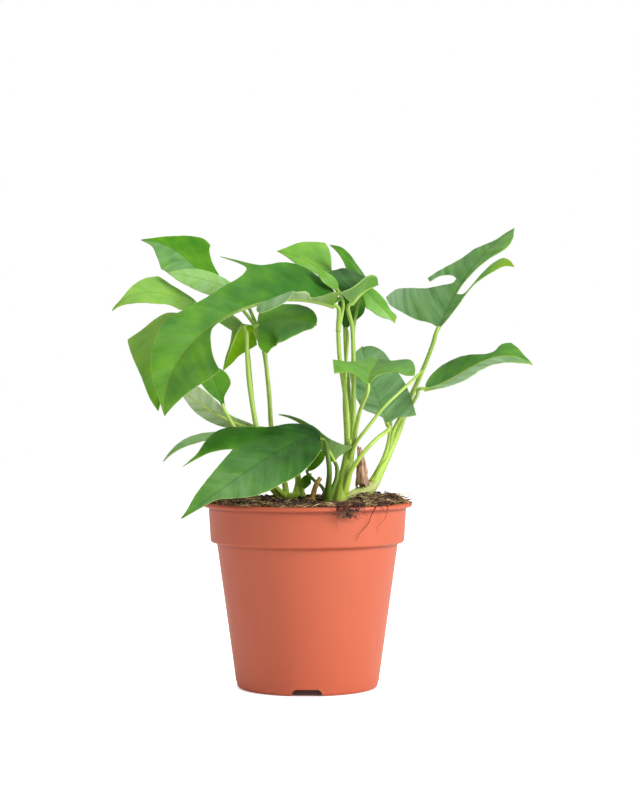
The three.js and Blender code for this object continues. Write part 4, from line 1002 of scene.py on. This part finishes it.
vein_group = leaf_veins()
upper_skin = blade_finish(
    "leaf_upper", [(16, 62, 10), (52, 112, 24), (98, 156, 24), (142, 188, 34)], (156, 194, 144),
    [(22, 70, 14), (180, 206, 80)], vein_share=0.09, rough=0.36, gloss=0.14, depth=-0.00012,
)
under_skin = blade_finish(
    "leaf_under", [(58, 100, 38), (86, 132, 46), (110, 160, 36), (122, 172, 8)], (184, 206, 160),
    [(112, 156, 66), (176, 204, 110)], vein_share=0.14, rough=0.5, gloss=0.07, depth=0.00012,
)
stalk_skin, tree, shader = new_finish("green_stalk")
streaks = strands(tree, (1.6, 1.6, 0.05), 3.0)
flecks = put(tree, "TexVoronoi", {"Vector": own(tree, "grain", "Vector"), "Scale": 0.8}).outputs["Distance"]
height = put(tree, "SeparateXYZ", {0: here(tree)}).outputs["Z"]
green = ramp(tree, remap(tree, height, 0.105, 0.215, 0.0, 1.0), (
    (0.0, (176, 202, 74)), (0.16, (182, 210, 86)), (0.5, (182, 210, 102)), (1.0, (162, 192, 92))
))
striped = mix(tree, remap(tree, streaks, 0.35, 0.7, 0.0, 0.55), green, paint(98, 142, 34))
flecked = mix(tree, remap(tree, flecks, 0.06, 0.16, 0.25, 0.0), striped, paint(196, 216, 140))
shaded = mix(tree, own(tree, "shade"), flecked, paint(44, 88, 20))
feed(tree, shader, {
    "Base Color": mix(tree, own(tree, "cork"), shaded, paint(204, 196, 152)),
    "Roughness": 0.38,
    "Normal": bump(tree, streaks, 0.35, 0.0003),
    "Specular IOR Level": 0.3,
})

for name, leaf in LEAVES.items():
    leaf = PLAIN_LEAF | leaf
    for part in ("face", "fold", "tone", "bloom_and_sheen"):
        leaf[part] = by_half(leaf[part])
    length, bend = bender(leaf)
    bm = cut_blade(leaf, length)
    bm.verts.layers.float_vector.new("grain")
    flat = bm.verts.layers.float_vector.new("flat")
    tone, bloom_and_sheen, rib, rim = (bm.verts.layers.float.new(layer) for layer in ("tone", "bloom_and_sheen", "rib", "rim"))
    for vert in bm.verts:
        vert[rim] = float(vert.is_boundary)
    thicken(bm, bm.faces[:], (0, 0, THICKNESS))
    blade = set(bm.faces)
    wide = RIB_RADIUS * min(1.0, 0.5 + length / 70)
    ridge = [Vector((0, length * i / 40 - 0.8, 0)) for i in range(40)]
    for point in ridge:
        point.z = -0.2 - 0.85 * wide * (1 - max(point.y, 0) / length)
    grow_stalk(bm, ridge, lambda share: wide * (1 - share) ** 0.75 + 0.08, 8)
    bmesh.ops.recalc_face_normals(bm, faces=bm.faces)
    for face in bm.faces:
        face.material_index = 2 if face not in blade else 0 if face.normal.z > 0.5 else 1
    for vert in bm.verts:
        out, along, above = vert.co
        vert[flat] = vert.co
        share = min(max(along / length, 0), 1)
        side = int(out > 0)
        edge = leaf["edge"][side]
        vert[tone] = spread(leaf["tone"][side], share) + edge[0] * (out / 30) ** 2
        vert[bloom_and_sheen] = spread(leaf["bloom_and_sheen"][side], share) + edge[1] * (out / 30) ** 2
        vert[rib] = spread(leaf["rib"], share)
        vert.co = bend(out, along, above) / 1000
    blade = add_piece(name.replace("leaf", "blade"), bm, [upper_skin, under_skin, stalk_skin], crease=55)
    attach(blade, "root")
    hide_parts(name)


# ---- Rooted cuttings ----------------------------------------------------------------------------
# Three fleshy green stems stand in the soil. Long round leaf stalks grow from them, each with a groove
# down its inner side, a swollen foot that clasps the stem and a small knee under its blade.
STOUT, SLIM, THIN = (1.9, 1.6, 1.35, 1.1), (1.5, 1.3, 1.15, 1.0), (1.1, 1.0, 0.9, 0.8)
FOOT_SWELL, KNEE_SWELL = 0.35, 0.12
# crowns: the stem's path, its radii and how corky it is. petioles: their leaf, radii and path.
CUTTINGS = {
    "stem_centre": dict(
        shade=0.0,
        crowns=[
            ([(18, -13, 93), (18, -13, 103), (19.5, -11.5, 112), (23, -8, 128), (23.8, -5.5, 142)],
                [4, 4, 4, 3.4, 2], 0),
            ([(19, -12, 104), (25, -6, 108.5), (31, -3, 111), (37, -1, 114.5), (40, 0, 119)],
                [3, 3.4, 3.8, 3.6, 2.4], 0.42),
        ],
        petioles=[
            ("leaf_arching", STOUT, [(19, -13, 108), (22, -10, 124), (23, -5, 141), (22, -3, 164),
                (18.5, -5, 188), (17.5, -9, 205)]),
            ("leaf_cupped", STOUT, [(20, -11, 110), (24.5, -6, 128), (26.5, 0, 152), (26.5, 1, 164),
                (26.5, 2, 188), (25.5, 0, 207)]),
            ("leaf_level", SLIM, [(22, -9, 124), (25.5, -9, 134), (27, -13, 144), (29.5, -21, 157)]),
            ("leaf_shaded", SLIM, [(20, -13, 108), (24, -15, 122), (31, -14, 133), (39.5, -9, 142)]),
            ("leaf_top_right", (2.6, 1.9, 1.4, 1.1), [(38, 0, 116), (42.5, 4, 124), (48, 10.5, 135),
                (52.5, 15, 145), (56, 20, 154), (60, 22, 165), (67, 18, 181), (72.5, 12, 196)]),
            ("leaf_right", SLIM, [(37, -1, 115), (41, 1, 123), (46.5, 8, 132), (50, 14, 146),
                (55, 18.5, 155), (60.5, 19, 161), (63.5, 13, 166.5)]),
            ("leaf_rear", SLIM, [(35, -1, 114), (39.5, 2, 122), (44.5, 7, 131.5), (47.3, 12, 141),
                (48.2, 17, 152), (47, 22, 162)]),
            ("leaf_curved_tip", SLIM, [(22, -8, 122), (22.5, 8, 141), (21.5, 13, 164), (22.5, 14, 187)]),
            ("leaf_top_light", SLIM, [(22, -8, 122), (24, 14, 146), (24, 26, 170), (22.5, 32, 190),
                (21.5, 32, 212)]),
            ("leaf_tiny", THIN, [(17.5, -9, 203), (19.5, -5, 212), (20.5, -5, 219)]),
            ("leaf_bent_right", THIN, [(26.5, 3, 180), (26.3, 7, 194), (26.8, 9, 206), (29.5, 10.5, 220)]),
            (None, THIN, [(23, -9, 128), (28.5, -14, 141), (33, -16, 147), (43.5, -15, 160),
                (52.5, -9, 168.5), (61, 0, 176), (67, 8.5, 181.5)]),
        ],
    ),
    "stem_left": dict(
        shade=0.0,
        crowns=[
            ([(-13.5, 5, 95), (-13.5, 5, 103), (-13, 5, 110.5)], [3.6, 3.8, 3.2], 0),
            ([(-14, 4.5, 107), (-8, 2, 108.5), (-1, 0, 110)], [2.6, 2.6, 1.4], 0),
        ],
        petioles=[
            ("leaf_small_hanging", STOUT, [(-15, 4, 108), (-23, 3, 117), (-27, 1, 132), (-29, -1, 146),
                (-31.5, -1, 161), (-33.5, -1.5, 175), (-34.5, -3, 190), (-34.8, -5, 202)]),
            ("leaf_sheltered", SLIM, [(-12, 5, 108), (-13.5, 8, 118), (-18.5, 11, 132), (-21, 13, 148),
                (-22, 14, 164), (-23.5, 14, 180), (-25.5, 14, 193)]),
            ("leaf_far_left", SLIM, [(-15, 4, 108), (-23.5, 14, 117), (-27, 19, 132), (-29.5, 21, 146),
                (-32, 22, 161), (-34, 22, 177), (-35.5, 22, 196), (-39.5, 20, 209), (-50, 15, 215)]),
            ("leaf_hanging_left", SLIM, [(-15, 4, 108), (-23, 20, 116), (-27.5, 30, 131), (-30, 33, 145),
                (-32.5, 34, 161), (-34, 34, 177), (-36, 33, 196), (-39.5, 30, 208), (-51, 20, 213)]),
            ("leaf_upper_left", SLIM, [(-12, 5, 108), (-14, 16, 117), (-18.5, 24, 132), (-21.5, 27, 148),
                (-22.5, 28, 164), (-24, 28, 180), (-26, 28, 193), (-29, 26, 205)]),
            ("leaf_top_left", SLIM, [(-12, 5, 108), (-14, 24, 117), (-19, 36, 131), (-22, 40, 148),
                (-23, 42, 164), (-24.5, 42, 180), (-26, 42, 194), (-31, 41, 207), (-42.5, 38, 222)]),
            ("leaf_small_left", SLIM, [(-12, 3, 108), (-21.5, -4, 118), (-33.5, -3, 137),
                (-41.5, -3.5, 148)]),
            ("leaf_low_left", SLIM, [(-6, 1.5, 108.5), (-5, 5, 119), (-10, 5, 132)]),
            ("leaf_narrow_left", SLIM, [(-7, 1.8, 108.5), (-6, 9, 119), (-13, 14, 132), (-26.5, 15, 140)]),
            ("leaf_young_left", THIN, [(-4, 1, 109), (-2.8, -0.5, 110.5)]),
        ],
    ),
    "stem_front": dict(
        shade=0.75,
        crowns=[
            ([(11, -18, 95), (11, -18, 103), (12, -18, 110)], [2.6, 2.8, 2.5], 0),
        ],
        petioles=[
            ("leaf_front", STOUT, [(11.5, -18, 107.5), (12, -22, 116), (12.5, -26, 124), (11.5, -26, 133)]),
            ("leaf_slanting", SLIM, [(12, -18, 108), (14.5, -18, 114), (16.8, -17, 121)]),
            ("leaf_young_front", THIN, [(11.5, -18, 109.5), (8, -10, 115), (3.5, -4, 118.5)]),
        ],
    ),
}


def stem_radius(radii):
    """The radius of a stem, with two faint rings where leaves once sat and a rounded end."""
    def at(share):
        ring = sum(math.exp(-((share - r) / 0.03) ** 2) for r in (0.5, 0.68))
        return spread(radii, share) * (1 + 0.03 * ring) * min(1.0, 0.25 + math.sqrt(max(1 - share, 0)) * 4)
    return at


def stalk_radius(radii, length, ends_in_blade):
    """The radius of a leaf stalk: a swollen foot, a slim middle and a knee below the blade."""
    def at(share):
        far = share * length
        foot = FOOT_SWELL * math.exp(-((far / 7) ** 2))
        knee = KNEE_SWELL * math.exp(-(((length - far - 7) / 4) ** 2)) if ends_in_blade else 0
        close = 1.0 if ends_in_blade else min(1.0, 0.2 + (length - far) / 9)
        return spread(radii, share) * (1 + foot + knee) * close
    return at


for name, cutting in CUTTINGS.items():
    bm = bmesh.new()
    bm.verts.layers.float_vector.new("grain")
    shade, cork = (bm.verts.layers.float.new(layer) for layer in ("shade", "cork"))
    for path, radii, old in cutting["crowns"]:
        known = len(bm.verts)
        grow_stalk(bm, smooth_path(path, 0.5), stem_radius(radii), 24, lambda share: 0.08)
        for vert in list(bm.verts)[known:]:
            vert[cork] = old
    for blade, radii, path in cutting["petioles"]:
        path = [Vector(p) for p in path]
        if blade:
            start, second = (Vector(p) for p in LEAVES[blade]["spine"][:2])
            head = (second - start).normalized()
            path += [start - head * (1 if radii is THIN else 3), start + head * 0.6]
        line = smooth_path(path, 1.6)
        length = sum((b - a).length for a, b in zip(line, line[1:]))
        radius_at = stalk_radius(radii, length, blade)
        grow_stalk(bm, line, radius_at, 16, lambda share: 0.3 - 0.2 * min(1.0, share * 2))
    for vert in bm.verts:
        vert[shade] = cutting["shade"]
    finish_mesh(bm)
    stem = add_piece(name.replace("stem", "cutting"), bm, [stalk_skin], crease=70)
    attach(stem, "root")
    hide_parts(name)


# ---- Dry sheath ---------------------------------------------------------------------------------
# The papery brown sheath of an old leaf still wraps the foot of the creeping shoot. It is a thin,
# creased sheet, rolled round on itself, with torn and frayed edges.
SHEATH_LINE = smooth_path([(31.8, -3.8, 114), (31.1, -2.9, 122), (30.4, -1, 131), (29.4, 0, 138)], 0.25)
SHEATH_RADII = (4.1, 3.5, 2.9, 2.1, 1.4, 0.7)
SHEATH_TURNS = 1.12
SHEET_THICKNESS = 0.00025
FRONT = Vector((0, -1, 0))


def ragged(x, y, z=0):
    """Noise without a sign, for edges."""
    return abs(noise.noise(Vector((x, y, z))))


bm = bmesh.new()
grain = bm.verts.layers.float_vector.new("grain")
bmesh.ops.create_grid(bm, x_segments=64, y_segments=36, size=0.5)
for vert in bm.verts:
    share, turn = vert.co.y + 0.5, vert.co.x + 0.5
    torn = 1 - 0.16 * ragged(turn * 7, 3) - 0.1 * abs(turn - 0.5)
    frayed = 0.2 * ragged(turn * 16, 8) + 0.1 * ragged(turn * 47, 5)
    share = frayed + (torn - frayed) * share
    spot = spread(SHEATH_LINE, share)
    head = spread(SHEATH_LINE, min(share + 0.02, 1)) - spread(SHEATH_LINE, max(share - 0.02, 0))
    head.normalize()
    side = (FRONT - head * head.dot(FRONT)).normalized()
    other = head.cross(side)
    radius = spread(SHEATH_RADII, share) * (0.82 + 0.3 * turn)
    radius += 0.22 * math.sin(turn * 38 + 3 * share) + 0.3 * noise.noise(Vector((turn * 5, share * 9, 1)))
    angle = math.tau * SHEATH_TURNS * turn + 1.2 * share
    vert[grain] = (turn * 14, 0, share * 24)
    vert.co = spot + (side * math.cos(angle) + other * math.sin(angle)) * radius
finish_mesh(bm)

paper, tree, shader = new_finish("dry_sheath")
creases = strands(tree, (2.4, 1.0, 0.12), 4.0)
body = mix(tree, remap(tree, creases, 0.36, 0.64, 0.0, 1.0), paint(104, 46, 30), paint(222, 186, 150))
dark = remap(tree, clouds(tree, own(tree, "grain", "Vector"), 0.22, 2.0), 0.5, 0.7, 0.0, 0.6)
feed(tree, shader, {
    "Base Color": mix(tree, dark, body, paint(104, 58, 44)),
    "Roughness": 0.7,
    "Normal": bump(tree, creases, 0.7, 0.0003),
})
sheath = add_piece("papery_sheath", bm, [paper], crease=80)
sheet = sheath.modifiers.new("sheet", "SOLIDIFY")
sheet.thickness, sheet.offset = SHEET_THICKNESS, 0
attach(sheath, "root")
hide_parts("dry_sheath")


# ---- Cut peg ------------------------------------------------------------------------------------
# A short woody stub, cut across at the top, from which a leaf was taken off. The cut end is pale.
PEG_LINE = smooth_path([(2.5, -17, 97), (2.7, -17, 107), (5, -16, 116), (7.5, -15, 120)], 0.6)
PEG_RADII = (1.5, 1.6, 1.5, 1.3)

bm = bmesh.new()
bm.verts.layers.float_vector.new("grain")
grow_stalk(bm, PEG_LINE, lambda share: spread(PEG_RADII, share) * (1 + 0.05 * math.sin(share * 60)), 18)
end = max(bm.faces, key=lambda face: face.calc_center_median().z)
inner = bmesh.ops.inset_region(bm, faces=[end], thickness=0.25, depth=-0.15)["faces"]
for face in [end, *inner]:
    face.material_index = 1
finish_mesh(bm)
peg_finishes = [
    grained_finish(name, (2.2, 2.2, 0.3), 4.0, dark, light, strength=0.6, depth=depth, rough=0.65)
    for name, dark, light, depth in (
        ("peg_bark", (112, 92, 34), (196, 160, 70), 0.0003),
        ("peg_cut", (196, 178, 104), (238, 226, 160), 0.0001),
    )
]
peg = add_piece("woody_peg", bm, peg_finishes)
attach(peg, "root")
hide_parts("cut_peg")
